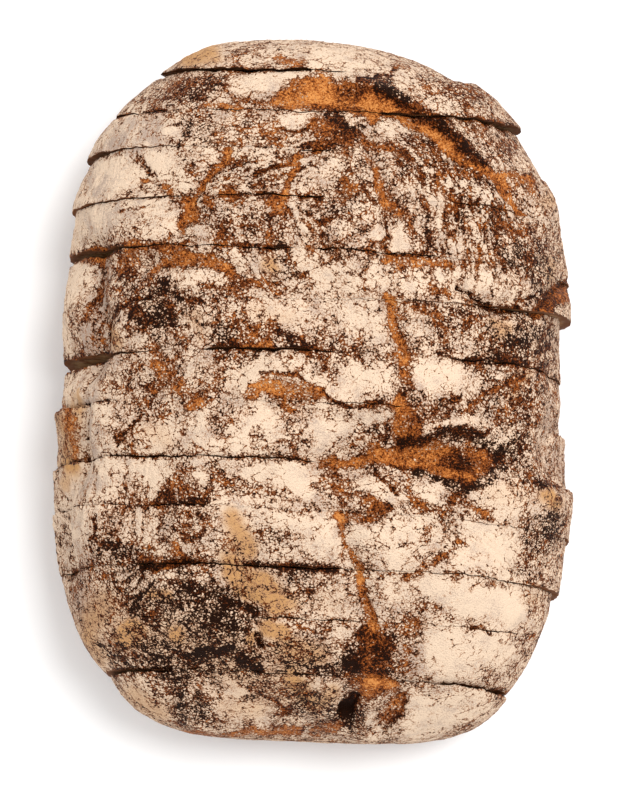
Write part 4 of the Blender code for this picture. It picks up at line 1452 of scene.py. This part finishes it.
@dataclass(frozen=True)
class GrainShader:
    """The grain that crust and crumb share: a node group of values about -0.5 to 0.5 unless said otherwise.

    Speckle, grit and drift are plain noise. Flake is noise with firm edges. Crackle is lowest along a net
    of fine cracks between small cells. Crack is 1 along the edges of larger cells, drawn out across the
    loaf, and breaks off where the drift is low. The first four have a size in millimetres and a detail, the
    number of finer layers.
    """

    speckle: tuple[float, float] = (0.8, 2.0)
    grit: tuple[float, float] = (0.42, 1.0)
    drift: tuple[float, float] = (5.0, 3.0)
    flake: tuple[float, float] = (2.2, 3.0)
    flake_edge: float = 0.06
    crackle_cell: float = 1.0
    crackle_gain: float = 1.6
    crackle_offset: float = -0.3
    crack_cell: float = 3.5
    crack_flatness: float = 0.6
    crack_line: tuple[float, float] = (0.05, 0.01)
    crack_breaks: tuple[float, float] = (-0.1, 0.05)

    def build(self) -> bpy.types.NodeTree:
        """Builds the group.

        Returns:
            The node group.
        """
        group = bpy.data.node_groups.new("baked_grain", "ShaderNodeTree")
        group.interface.new_socket("Place", in_out="INPUT", socket_type="NodeSocketVector")
        for name in ("Speckle", "Grit", "Drift", "Flake", "Crackle", "Crack"):
            group.interface.new_socket(name, in_out="OUTPUT", socket_type="NodeSocketFloat")
        nodes = NodeTree(group)
        place = nodes.add("NodeGroupInput").outputs["Place"]
        end = nodes.add("NodeGroupOutput")
        nodes.join(nodes.noise(place, *self.speckle), end.inputs["Speckle"])
        nodes.join(nodes.noise(place, *self.grit), end.inputs["Grit"])
        drift = nodes.noise(place, *self.drift)
        nodes.join(drift, end.inputs["Drift"])
        flake = nodes.ease(nodes.noise(place, *self.flake), -self.flake_edge, self.flake_edge)
        nodes.join(nodes.scaled(flake, 1.0, -0.5), end.inputs["Flake"])
        net = nodes.cells(place, self.crackle_cell, 1.0)
        nodes.join(nodes.scaled(net, self.crackle_gain, self.crackle_offset), end.inputs["Crackle"])
        line = nodes.ease(nodes.cells(place, self.crack_cell, self.crack_flatness), *self.crack_line)
        nodes.join(nodes.scaled(line, nodes.ease(drift, *self.crack_breaks), 0.0), end.inputs["Crack"])
        return group


@dataclass(frozen=True)
class CrustMaterial:
    """The floured, toasted and scorched crust.

    The grain breaks up the flour and the heat by the shares given with each of its values. A range holds
    where a smooth step starts and ends. The ramp's stops are where its three middle colours lie.
    """

    grain: bpy.types.NodeTree
    bare: BareFinish = BareFinish()
    flour: FlourFinish = FlourFinish()
    flour_grain: tuple[tuple[str, float], ...] = (
        ("Speckle", 1.15),
        ("Crackle", 1.15),
        ("Flake", 0.26),
        ("Crack", -0.6),
        ("Grit", 1.15),
    )
    heat_grain: tuple[tuple[str, float], ...] = (
        ("Speckle", 1.6),
        ("Grit", 1.4),
        ("Drift", 0.9),
        ("Flake", 0.16),
        ("Crackle", 0.3),
    )
    tone_grain: tuple[tuple[str, float], ...] = (("Drift", 1.5), ("Grit", 1.5))
    cover_range: tuple[float, float] = (0.12, 0.55)
    thick_range: tuple[float, float] = (0.36, 0.86)
    char_and_shade_heat: float = -0.55
    least_heat: float = 0.25
    ramp_stops: tuple[float, float, float] = (0.2, 0.42, 0.7)
    bare_roughness: float = 0.62
    flour_roughness: float = 0.3
    specular: float = 0.06
    bump_mm: float = 0.42
    flour_bump: float = 0.5

    def build(self) -> bpy.types.Material:
        """Mixes bare crust and flour by the mesh's own attributes, broken up by the grain.

        Returns:
            The material.
        """
        material = bpy.data.materials.new("floured_crust")
        material.use_nodes = True
        nodes = NodeTree(material.node_tree)
        shader = material.node_tree.nodes["Principled BSDF"]
        grain = nodes.grain(self.grain)

        broken = nodes.scaled(
            nodes.grained(grain, self.flour_grain, 0.0), nodes.attribute("rough"), nodes.attribute("flour")
        )
        cover = nodes.ease(broken, *self.cover_range)
        thick = nodes.ease(broken, *self.thick_range)

        # scorching and painted shade both darken the heat ramp through char
        heat = nodes.scaled(nodes.attribute("char"), self.char_and_shade_heat, nodes.attribute("toast"))
        heat = nodes.scaled(nodes.grained(grain, self.heat_grain, heat), 1.0, self.least_heat)
        ramp = nodes.add("ShaderNodeValToRGB")
        ramp.color_ramp.elements[0].color = self.bare.scorched
        ramp.color_ramp.elements[1].color = self.bare.golden
        for stop, colour in zip(self.ramp_stops, (self.bare.dark, self.bare.brown, self.bare.orange)):
            ramp.color_ramp.elements.new(stop).color = colour
        nodes.join(heat, ramp.inputs["Fac"])

        tone = nodes.grained(grain, self.tone_grain, nodes.attribute("cream"))
        powder = nodes.mix(nodes.ease(tone, 0.0, 1.0), self.flour.grey, self.flour.cream)
        powder = nodes.mix(nodes.ease(nodes.attribute("tan"), 0.0, 1.0), powder, self.flour.tan)
        powder = nodes.mix(thick, self.flour.film, powder)

        nodes.join(nodes.mix(cover, ramp.outputs["Color"], powder), shader.inputs["Base Color"])
        nodes.join(nodes.scaled(cover, self.flour_roughness, self.bare_roughness), shader.inputs["Roughness"])
        shader.inputs["Specular IOR Level"].default_value = self.specular
        nodes.bump(shader, nodes.scaled(cover, self.flour_bump, grain.outputs["Grit"]), self.bump_mm)
        return material


@dataclass(frozen=True)
class CrumbMaterial:
    """The cut faces: a brown rim of crust round pale open crumb."""

    grain: bpy.types.NodeTree
    finish: CrumbFinish = CrumbFinish()
    hole_range: tuple[float, float] = (-0.1, 0.12)
    rim_speckle: float = 0.4
    rim_range: tuple[float, float] = (0.15, 0.8)
    roughness: float = 0.9
    specular: float = 0.2
    bump_mm: float = 0.4

    def build(self) -> bpy.types.Material:
        """Mixes rim, crumb and holes by the mesh's own attribute and the grain.

        Returns:
            The material.
        """
        material = bpy.data.materials.new("cut_crumb")
        material.use_nodes = True
        nodes = NodeTree(material.node_tree)
        shader = material.node_tree.nodes["Principled BSDF"]
        grain = nodes.grain(self.grain)
        drift = grain.outputs["Drift"]
        # painted shade: patches of the darker colour stand for shade in the crumb's holes
        crumb = nodes.mix(nodes.ease(drift, *self.hole_range), self.finish.crumb, self.finish.hole)
        rim = nodes.scaled(grain.outputs["Speckle"], self.rim_speckle, nodes.attribute("rim"))
        colour = nodes.mix(nodes.ease(rim, *self.rim_range), crumb, self.finish.rim)
        nodes.join(colour, shader.inputs["Base Color"])
        shader.inputs["Roughness"].default_value = self.roughness
        shader.inputs["Specular IOR Level"].default_value = self.specular
        nodes.bump(shader, drift, self.bump_mm)
        return material


@dataclass
class Skin:
    """A closed tube of rings with the same number of points, from the +Y tip to the -Y tip."""

    rings: np.ndarray
    tips: np.ndarray
    crust_rings: tuple[int, int]
    sharp_deg: float = 70.0

    def quads(self) -> np.ndarray:
        """The faces between rings, each turned outwards: a point, the one after it along, then across.

        Returns:
            Four vertex numbers a face.
        """
        ring_count, column_count = self.rings.shape[:2]
        column = np.arange(column_count)
        beside = (column + 1) % column_count
        start = np.arange(ring_count - 1)[:, None] * column_count
        after = start + column_count
        corners = (start + column, after + column, after + beside, start + beside)
        return np.stack(corners, axis=-1).reshape(-1, 4)

    def fans(self) -> np.ndarray:
        """The triangles between each tip and its ring, turned outwards.

        Returns:
            Three vertex numbers a face.
        """
        ring_count, column_count = self.rings.shape[:2]
        column = np.arange(column_count)
        beside = (column + 1) % column_count
        last = (ring_count - 1) * column_count
        tip = ring_count * column_count
        north = np.stack([np.full(column_count, tip), column, beside], axis=1)
        south = np.stack([np.full(column_count, tip + 1), last + beside, last + column], axis=1)
        return np.concatenate([north, south])

    def material_numbers(self) -> np.ndarray:
        """Which material each face has: 0 for crust between the crust's rings, 1 for crumb.

        Returns:
            One number a face, quads first.
        """
        first, last = self.crust_rings
        ring_count, column_count = self.rings.shape[:2]
        band = np.repeat(np.arange(ring_count - 1), column_count)
        is_crumb = (band < first) | (band >= last)
        tip_is_crumb = np.logical_not([first == 0, last == ring_count - 1])
        return np.concatenate([is_crumb, np.repeat(tip_is_crumb, column_count)])

    def mesh(self, name: str, materials: tuple[bpy.types.Material, ...]) -> bpy.types.Mesh:
        """Writes the tube as a mesh, crust first and crumb second among its materials.

        Args:
            name: the mesh's name.
            materials: the crust's material and the crumb's.

        Returns:
            The mesh.
        """
        quads, fans = self.quads(), self.fans()
        points = np.concatenate([self.rings.reshape(-1, 3), self.tips]) * MM
        mesh = bpy.data.meshes.new(name)
        mesh.vertices.add(len(points))
        mesh.vertices.foreach_set("co", points.astype(np.float32).ravel())
        loops = np.concatenate([quads.ravel(), fans.ravel()]).astype(np.int32)
        mesh.loops.add(len(loops))
        mesh.loops.foreach_set("vertex_index", loops)
        starts = np.concatenate([np.arange(len(quads)) * 4, len(quads) * 4 + np.arange(len(fans)) * 3])
        mesh.polygons.add(len(starts))
        mesh.polygons.foreach_set("loop_start", starts.astype(np.int32))
        for material in materials:
            mesh.materials.append(material)
        mesh.polygons.foreach_set("material_index", self.material_numbers().astype(np.int32))
        mesh.update(calc_edges=True)
        mesh.shade_smooth()
        mesh.set_sharp_from_angle(angle=math.radians(self.sharp_deg))
        return mesh


@dataclass(frozen=True)
class FineRelief:
    """The crust's fine relief. Each pair is a height and the size of its noise, both in millimetres."""

    wrinkles: tuple[float, float] = (0.35, 7.0)
    veins: tuple[float, float] = (0.4, 3.2)
    grains: tuple[float, float] = (0.28, 1.1)
    sink: float = 0.26
    crag_range: tuple[float, float] = (0.05, 1.6)
    foot_fade: float = 6.0
    edge_drop: float = 0.3
    chips: tuple[float, float] = (0.5, 4.0)
    chip_range: tuple[float, float] = (-0.5, 1.0)
    hole_depth: float = 1.6
    hole_cell: float = 5.0
    hole_spread: float = 0.3


@dataclass(frozen=True)
class Scatter:
    """How flour and colour break up into patches, specks and veins, and go bare and dark beside open cuts."""

    patch_cell: float = 7.0
    patch_keep: float = 0.6
    speck_cell: float = 1.5
    speck_keep: float = 0.7
    speck_offset: float = 91.0
    vein_cell: float = 8.0
    vein_offset: float = 40.0
    vein_start: float = 0.72
    vein_most: float = 0.3
    rough_start: float = 0.55
    rough_range: tuple[float, float] = (0.35, 1.4)
    fringe_cell: float = 9.0
    fringe_offset: float = 13.0
    fringe_start: float = 0.7
    fringe_change: float = 0.9
    fringe_range: tuple[float, float] = (0.1, 1.4)
    flour_patch: float = 0.15
    flour_speck: float = 0.14
    flour_vein: float = 1.3
    flour_fringe: float = 0.55
    toast_patch: float = 0.1
    toast_speck: float = 0.15
    # painted shade: the crust beside an open cut is darkened for the shade falling into the gap
    fringe_shade: float = 0.25
    cream_patch: float = 0.4


@dataclass
class SliceBuilder:
    """Builds the fine surface of one slice after another.

    Steps and rows say how fine it is. Each waver of a cut is a size and the size of its noise in millimetres.
    """

    form: LoafForm
    painter: CrustPainter
    materials: tuple[bpy.types.Material, ...]
    openings: tuple[Opening, ...] = OPENINGS
    top_steps: int = 720
    tuck_steps: int = 14
    base_steps: int = 40
    rows: int = 45
    cap_shares: tuple[float, ...] = (0.995, 0.985, 0.97, 0.95, 0.9, 0.8, 0.64, 0.42, 0.2)
    rim_depth: float = 7.0
    edge_round: float = 0.5
    fringe_reach: float = 0.75
    slice_pitch: float = 15.0
    tight_gap: float = 0.03
    open_gap: float = 0.24
    opening_ease: float = 5.0
    gap_change: float = 0.6
    gap_cell: float = 5.0
    gap_offset: float = 31.0
    cut_wavers: tuple[tuple[float, float], ...] = ((0.5, 8.0), (0.3, 2.4))
    waver_offset: float = 37.0
    cap_middle: float = 0.45
    relief: FineRelief = FineRelief()
    scatter: Scatter = Scatter()
    grain: Grain = field(default_factory=lambda: Grain(5))

    def places(self) -> tuple[np.ndarray, np.ndarray]:
        """Places round a section, as shares of its half width: over the crown, then back along the base.

        Returns:
            The places over the crown and the places under it.
        """
        share = self.form.base_share
        over = np.sin(np.linspace(-math.pi / 2, math.pi / 2, self.top_steps + 1))
        tuck = share + (1.0 - share) * np.cos(np.linspace(0.0, math.pi / 2, self.tuck_steps + 1))
        base = np.linspace(share, -share, self.base_steps + 1)
        return over, np.concatenate([tuck[1:], base[1:], -tuck[-2:0:-1]])

    @staticmethod
    def outward(points: np.ndarray) -> np.ndarray:
        """Unit normals of the grid: the cross product of the way along the loaf and the way round it.

        Args:
            points: the grid of points, one row a section.

        Returns:
            The normals.
        """
        around = np.roll(points, -1, axis=1) - np.roll(points, 1, axis=1)
        along = np.gradient(points, axis=0)
        normals = np.cross(along, around)
        return normals / np.maximum(np.linalg.norm(normals, axis=2, keepdims=True), 1e-9)

    def half_gap(self, number: int, x: np.ndarray, z: np.ndarray) -> np.ndarray:
        """Half the width of a cut: tight under the flour, wider where the photograph shows it open.

        Args:
            number: the cut's place from the +Y end, from 1.
            x: X of the points.
            z: Z of the points.

        Returns:
            Half widths in millimetres.
        """
        spots = np.stack([x, np.zeros(x.shape), z], axis=-1)
        across = self.painter.survey.seen(spots)[0]
        widest = np.full(x.shape, self.tight_gap)
        ease = self.opening_ease
        for opening in self.openings:
            if opening.cut == number:
                rise = smooth_step(across, opening.start - ease, opening.start + ease)
                fall = smooth_step(across, opening.end + ease, opening.end - ease)
                widest = np.maximum(widest, opening.half_gap * rise * fall)
        uneven = 1.0 + self.gap_change * self.grain.at(spots + self.gap_offset * number, self.gap_cell)
        return np.maximum(widest * uneven, self.tight_gap)

    def stray(self, number: int, side: int, x: np.ndarray, z: np.ndarray) -> np.ndarray:
        """How far a cut's face strays from its plane: both faces waver alike, and part where the cut is open.

        Args:
            number: the cut's place from the +Y end, from 1.
            side: 1 for a face that looks towards +Y, -1 towards -Y.
            x: X of the points.
            z: Z of the points.

        Returns:
            What to add to Y.
        """
        spots = np.stack([x, np.full(x.shape, self.waver_offset * number), z], axis=-1)
        waver = sum(size * self.grain.at(spots, cell) for size, cell in self.cut_wavers)
        return waver - side * (self.half_gap(number, x, z) - self.form.cut_gap / 2.0)

    def beside_cuts(self, index: int, share: np.ndarray, points: np.ndarray, reach: float) -> np.ndarray:
        """How strongly the open cuts of a slice show on its crust: a bell curve of the distance to each.

        Args:
            index: the slice's place from the +Y end, from 0.
            share: how far along the slice each row lies.
            points: the crust's points.
            reach: the distance at which the curve has fallen to a third.

        Returns:
            Shares from 0 to 1.
        """
        last = len(self.form.slices) - 1
        total = np.zeros(points.shape[:2])
        for number, away in ((index, share), (index + 1, 1.0 - share)):
            if 0 < number <= last:
                gap = self.half_gap(number, points[:, :, 0], points[:, :, 2])
                is_open = smooth_step(gap, self.tight_gap, self.open_gap)
                total += is_open * np.exp(-((away * self.slice_pitch / reach) ** 2))
        return total

    def face(self, index: int, south: bool, across: np.ndarray, x: np.ndarray, z: np.ndarray) -> np.ndarray:
        """Y of one face of a slice.

        Args:
            index: the slice's place from the +Y end, from 0.
            south: whether it is the face that looks towards -Y.
            across: places across the slice.
            x: X of the points.
            z: Z of the points.

        Returns:
            Y of each point.
        """
        number = index + int(south)
        if number == 0:
            return self.form.cut_place(self.form.north_end, 0, across, x, z)
        if number == len(self.form.slices):
            return self.form.cut_place(self.form.south_end, 0, across, x, z)
        side = -1 if south else 1
        plane = self.form.cut_place(self.form.cuts[number - 1], side, across, x, z)
        return plane + self.stray(number, side, x, z)

    def between(
        self, index: int, share: np.ndarray, across: np.ndarray, x: np.ndarray, z: np.ndarray
    ) -> np.ndarray:
        """Y of each point, that share of the way from the slice's +Y face to its -Y face.

        Args:
            index: the slice's place from the +Y end, from 0.
            share: how far along the slice each row lies.
            across: places across the slice.
            x: X of the points.
            z: Z of the points.

        Returns:
            Y of each point.
        """
        start = self.face(index, False, across, x, z)
        end = self.face(index, True, across, x, z)
        return start + (end - start) * share

    def crust_relief(self, points: np.ndarray, looks: dict[str, np.ndarray]) -> np.ndarray:
        """Fine relief: wrinkles, crags where the crust is rough, and the marks' own heights.

        Args:
            points: the crust's points.
            looks: the painted shares.

        Returns:
            Heights in millimetres, which fade out above the table.
        """
        sizes = self.relief
        crag = np.clip(looks["crag"], *sizes.crag_range)
        wrinkles = sizes.wrinkles[0] * self.grain.layers(points, sizes.wrinkles[1], 2)
        veins = sizes.veins[0] * self.grain.veins(points, sizes.veins[1], 2)
        crags = crag * (veins - sizes.sink + sizes.grains[0] * self.grain.at(points, sizes.grains[1]))
        return (wrinkles + crags + looks["height"]) * np.clip(points[:, :, 2] / sizes.foot_fade, 0.0, 1.0)

    def edge_drop(self, points: np.ndarray, beside: np.ndarray) -> np.ndarray:
        """How far the crust falls beside an open cut, with chips.

        Args:
            points: the crust's points.
            beside: how strongly open cuts show.

        Returns:
            Depths in millimetres.
        """
        size, cell = self.relief.chips
        chips = np.clip(self.grain.layers(points, cell, 2), *self.relief.chip_range)
        return beside * (self.relief.edge_drop + size * chips)

    def masks(
        self, points: np.ndarray, looks: dict[str, np.ndarray], beside: np.ndarray
    ) -> dict[str, np.ndarray]:
        """Turns the painted shares into what the material reads: flour breaks up, and open cuts are bare.

        Args:
            points: the crust's points.
            looks: the painted shares.
            beside: how strongly open cuts show.

        Returns:
            Arrays of flour, toast, char, cream, tan and rough.
        """
        mix = self.scatter
        patch = self.grain.layers(points, mix.patch_cell, 3, mix.patch_keep)
        specks = self.grain.layers(points + mix.speck_offset, mix.speck_cell, 2, mix.speck_keep)
        veins = self.grain.veins(points + mix.vein_offset, mix.vein_cell, 3) - mix.vein_start
        veins = np.clip(veins, 0.0, mix.vein_most)
        rough = np.clip(mix.rough_start + looks["crag"], *mix.rough_range)
        uneven = self.grain.at(points + mix.fringe_offset, mix.fringe_cell)
        fringe = beside * np.clip(mix.fringe_start + mix.fringe_change * uneven, *mix.fringe_range)
        broken = mix.flour_patch * patch + mix.flour_speck * specks - mix.flour_vein * veins
        return {
            "flour": looks["flour"] + rough * broken - mix.flour_fringe * fringe,
            "toast": looks["toast"] + mix.toast_patch * patch + mix.toast_speck * specks,
            # beside open cuts the crust goes bare and gets painted shade from fringe_shade
            "char": np.maximum(looks["char"], 0.0) + mix.fringe_shade * fringe,
            "cream": looks["cream"] + mix.cream_patch * patch,
            "tan": np.clip(looks["tan"], 0.0, 1.0),
            "rough": rough,
        }

    def cap(
        self, index: int, south: bool, ring: np.ndarray, across: np.ndarray
    ) -> tuple[np.ndarray, np.ndarray]:
        """The rings that close a cut face, shrinking to its middle, with the crumb's holes.

        Args:
            index: the slice's place from the +Y end.
            south: whether it is the face that looks towards -Y.
            ring: the crust's edge at the cut.
            across: places across the slice.

        Returns:
            The rings, and how much each is the crust's brown rim.
        """
        middle = np.array([ring[:, 0].mean(), 0.0, ring[:, 2].max() * self.cap_middle])
        rings = []
        rims = []
        for share in (*self.cap_shares, 0.0):
            spot = middle + (ring - middle) * share
            x, z = spot[:, 0], spot[:, 2]
            y = self.face(index, south, across[0] * share, x, z)
            spots = np.stack([x, y, z], axis=-1)
            holes = np.clip(self.grain.layers(spots, self.relief.hole_cell, 2), 0.0, 1.0)
            inward = self.relief.hole_depth * holes * (1.0 - share) ** self.relief.hole_spread
            rings.append(np.stack([x, y + inward if south else y - inward, z], axis=-1))
            depth = np.hypot(ring[:, 0] - x, ring[:, 2] - z)
            rims.append(np.clip(1.0 - depth / self.rim_depth, 0.0, 1.0))
        return np.stack(rings), np.stack(rims)

    def build(self, index: int) -> bpy.types.Object:
        """Makes one slice's object, dressed.

        Args:
            index: the slice's place from the +Y end, from 0.

        Returns:
            The object.
        """
        form = self.form
        first = index == 0
        last = index == len(form.slices) - 1
        shape = form.slices[index]
        north = form.north_end if first else form.cuts[index - 1]
        south = form.south_end if last else form.cuts[index]
        share = np.linspace(0.0, 1.0, self.rows)
        if first:
            share = 1.0 - np.cos(share * math.pi / 2)
        if last:
            share = np.sin(share * math.pi / 2)
        share = share[:, None]
        over, under = self.places()
        across = np.concatenate([over, under])[None, :]
        is_top = np.arange(across.size)[None, :] < over.size
        station = north.station + (south.station - north.station) * share
        out = form.out_share(across, station, shape.fullness)
        half_width = (form.half_width + shape.swell) * form.section_share(station, shape.fullness)
        x = shape.slip + half_width * across
        z = np.where(is_top, form.crust_height(out), form.tuck_height(out))
        plain = np.stack([x, self.between(index, share, across, x, z), z], axis=2)
        normals = self.outward(plain)
        shift = np.array([form.shift_x, form.shift_y, 0.0])
        looks = self.painter.look(plain + shift)
        relief = form.main_relief(x, plain[:, :, 1]) * is_top
        proud = relief * np.clip((z - form.widest_height) / form.relief_fade, 0.0, 1.0)
        proud = proud + self.crust_relief(plain, looks)
        proud = proud - self.edge_drop(plain, self.beside_cuts(index, share, plain, self.edge_round))
        x = x + normals[:, :, 0] * proud
        z = np.maximum(z + normals[:, :, 2] * proud, 0.0)
        y = self.between(index, share, across, x, z)
        if first:
            y = y + normals[:, :, 1] * proud * (1.0 - share)
        if last:
            y = y + normals[:, :, 1] * proud * share
        shell = np.stack([x, y, z], axis=2)
        beside = self.beside_cuts(index, share, plain, self.fringe_reach)
        looks = self.masks(shell + shift, looks, beside)
        return self.dress(index, shell, across, looks, shift)

    def dress(
        self,
        index: int,
        shell: np.ndarray,
        across: np.ndarray,
        looks: dict[str, np.ndarray],
        shift: np.ndarray,
    ) -> bpy.types.Object:
        """Closes a slice's crust at both ends and makes its object.

        Args:
            index: the slice's place from the +Y end.
            shell: the crust's grid of points.
            across: places across the slice.
            looks: the crust's attributes.
            shift: what brings the loaf to the middle of its frame.

        Returns:
            The object.
        """
        rings = []
        rims = []
        tips = []
        if index == 0:
            tips.append(shell[0].mean(axis=0))
            shell = shell[1:]
            looks = {name: values[1:] for name, values in looks.items()}
        else:
            cap, rim = self.cap(index, False, shell[0], across)
            tips.append(cap[-1].mean(axis=0))
            rings.append(cap[-2::-1])
            rims.append(rim[-2::-1])
        first = len(rings[0]) if rings else 0
        last_tip = shell[-1].mean(axis=0)
        closed_south = index < len(self.form.slices) - 1
        if not closed_south:
            shell = shell[:-1]
            looks = {name: values[:-1] for name, values in looks.items()}
        rings.append(shell)
        rims.append(np.ones(shell.shape[:2]))
        last = first + len(shell) - 1
        if closed_south:
            cap, rim = self.cap(index, True, shell[-1], across)
            last_tip = cap[-1].mean(axis=0)
            rings.append(cap[:-1])
            rims.append(rim[:-1])
        tips.append(last_tip)
        skin = Skin(np.concatenate(rings) + shift, np.stack(tips) + shift, (first, last))
        mesh = skin.mesh(f"crust_{index + 1:02d}", self.materials)
        count = len(mesh.vertices)
        column_count = shell.shape[1]
        span = slice(first * column_count, (last + 1) * column_count)
        for name, values in looks.items():
            whole = np.zeros(count, np.float32)
            whole[span] = np.broadcast_to(values, shell.shape[:2]).ravel()
            mesh.attributes.new(name, "FLOAT", "POINT").data.foreach_set("value", whole)
        rim_values = np.concatenate([np.concatenate(rims).ravel(), np.zeros(2)]).astype(np.float32)
        mesh.attributes.new("rim", "FLOAT", "POINT").data.foreach_set("value", rim_values)
        piece = bpy.data.objects.new(f"loaf_slice_{index + 1:02d}", mesh)
        bpy.context.scene.collection.objects.link(piece)
        LOG.info("slice %02d: %d faces", index + 1, len(mesh.polygons))
        return piece


@dataclass
class Studio:
    """A white table, soft light from the upper right, and the camera straight above."""

    survey: Survey
    sensor_mm: float = 36.0
    table_size: float = 6.0
    table_drop: float = 0.0001
    key_place: tuple[float, float, float] = (0.75, 0.6, 2.2)
    key_size: float = 1.1
    key_power: float = 38.0
    sky_strength: float = 0.92
    white: Colour = (1.0, 1.0, 1.0, 1.0)
    table_roughness: float = 0.9

    def table(self) -> None:
        """A wide plain sheet a hair under the loaf, so that it never shows through the base."""
        half = self.table_size / 2.0
        down = -self.table_drop
        corners = [(-half, -half, down), (half, -half, down), (half, half, down), (-half, half, down)]
        mesh = bpy.data.meshes.new("table")
        mesh.from_pydata(corners, [], [(0, 1, 2, 3)])
        material = bpy.data.materials.new("table_white")
        material.use_nodes = True
        shader = material.node_tree.nodes["Principled BSDF"]
        shader.inputs["Base Color"].default_value = self.white
        shader.inputs["Roughness"].default_value = self.table_roughness
        mesh.materials.append(material)
        table = bpy.data.objects.new("table", mesh)
        bpy.context.scene.collection.objects.link(table)

    def light(self) -> None:
        """A large soft key light and an even sky."""
        lamp = bpy.data.lights.new("key", "AREA")
        lamp.shape = "DISK"
        lamp.size = self.key_size
        lamp.energy = self.key_power
        key = bpy.data.objects.new("key", lamp)
        key.location = self.key_place
        east, north, up = self.key_place
        tilt = math.atan2(math.hypot(east, north), up)
        key.rotation_euler = (tilt, 0.0, math.atan2(north, east) + math.pi / 2)
        bpy.context.scene.collection.objects.link(key)
        world = bpy.data.worlds.new("sky")
        world.use_nodes = True
        background = world.node_tree.nodes["Background"]
        background.inputs["Color"].default_value = self.white
        background.inputs["Strength"].default_value = self.sky_strength
        bpy.context.scene.world = world
        bpy.context.scene.view_settings.view_transform = "Standard"

    def camera(self) -> None:
        """A long lens straight above the loaf, framed as the photograph."""
        data = bpy.data.cameras.new("overhead")
        data.sensor_width = self.sensor_mm
        data.lens = self.survey.focal_px / self.survey.height * self.sensor_mm
        camera = bpy.data.objects.new("overhead", data)
        place = (self.survey.camera_x, self.survey.camera_y, self.survey.camera_z)
        camera.location = [value * MM for value in place]
        bpy.context.scene.collection.objects.link(camera)
        bpy.context.scene.camera = camera


def main() -> None:
    """Builds the studio, then every slice from the +Y end, and reports each piece."""
    logging.basicConfig(level=logging.INFO, format="%(name)s: %(message)s")
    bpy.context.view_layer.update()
    survey = Survey()
    studio = Studio(survey)
    studio.table()
    studio.light()
    studio.camera()
    grain = GrainShader().build()
    materials = (CrustMaterial(grain).build(), CrumbMaterial(grain).build())
    builder = SliceBuilder(LoafForm(), CrustPainter(survey, MARKS), materials)
    for index in range(len(builder.form.slices)):
        piece = builder.build(index)
        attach(piece, "root")
        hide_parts(f"slice_{index + 1:02d}")


if __name__ == "__main__":
    main()
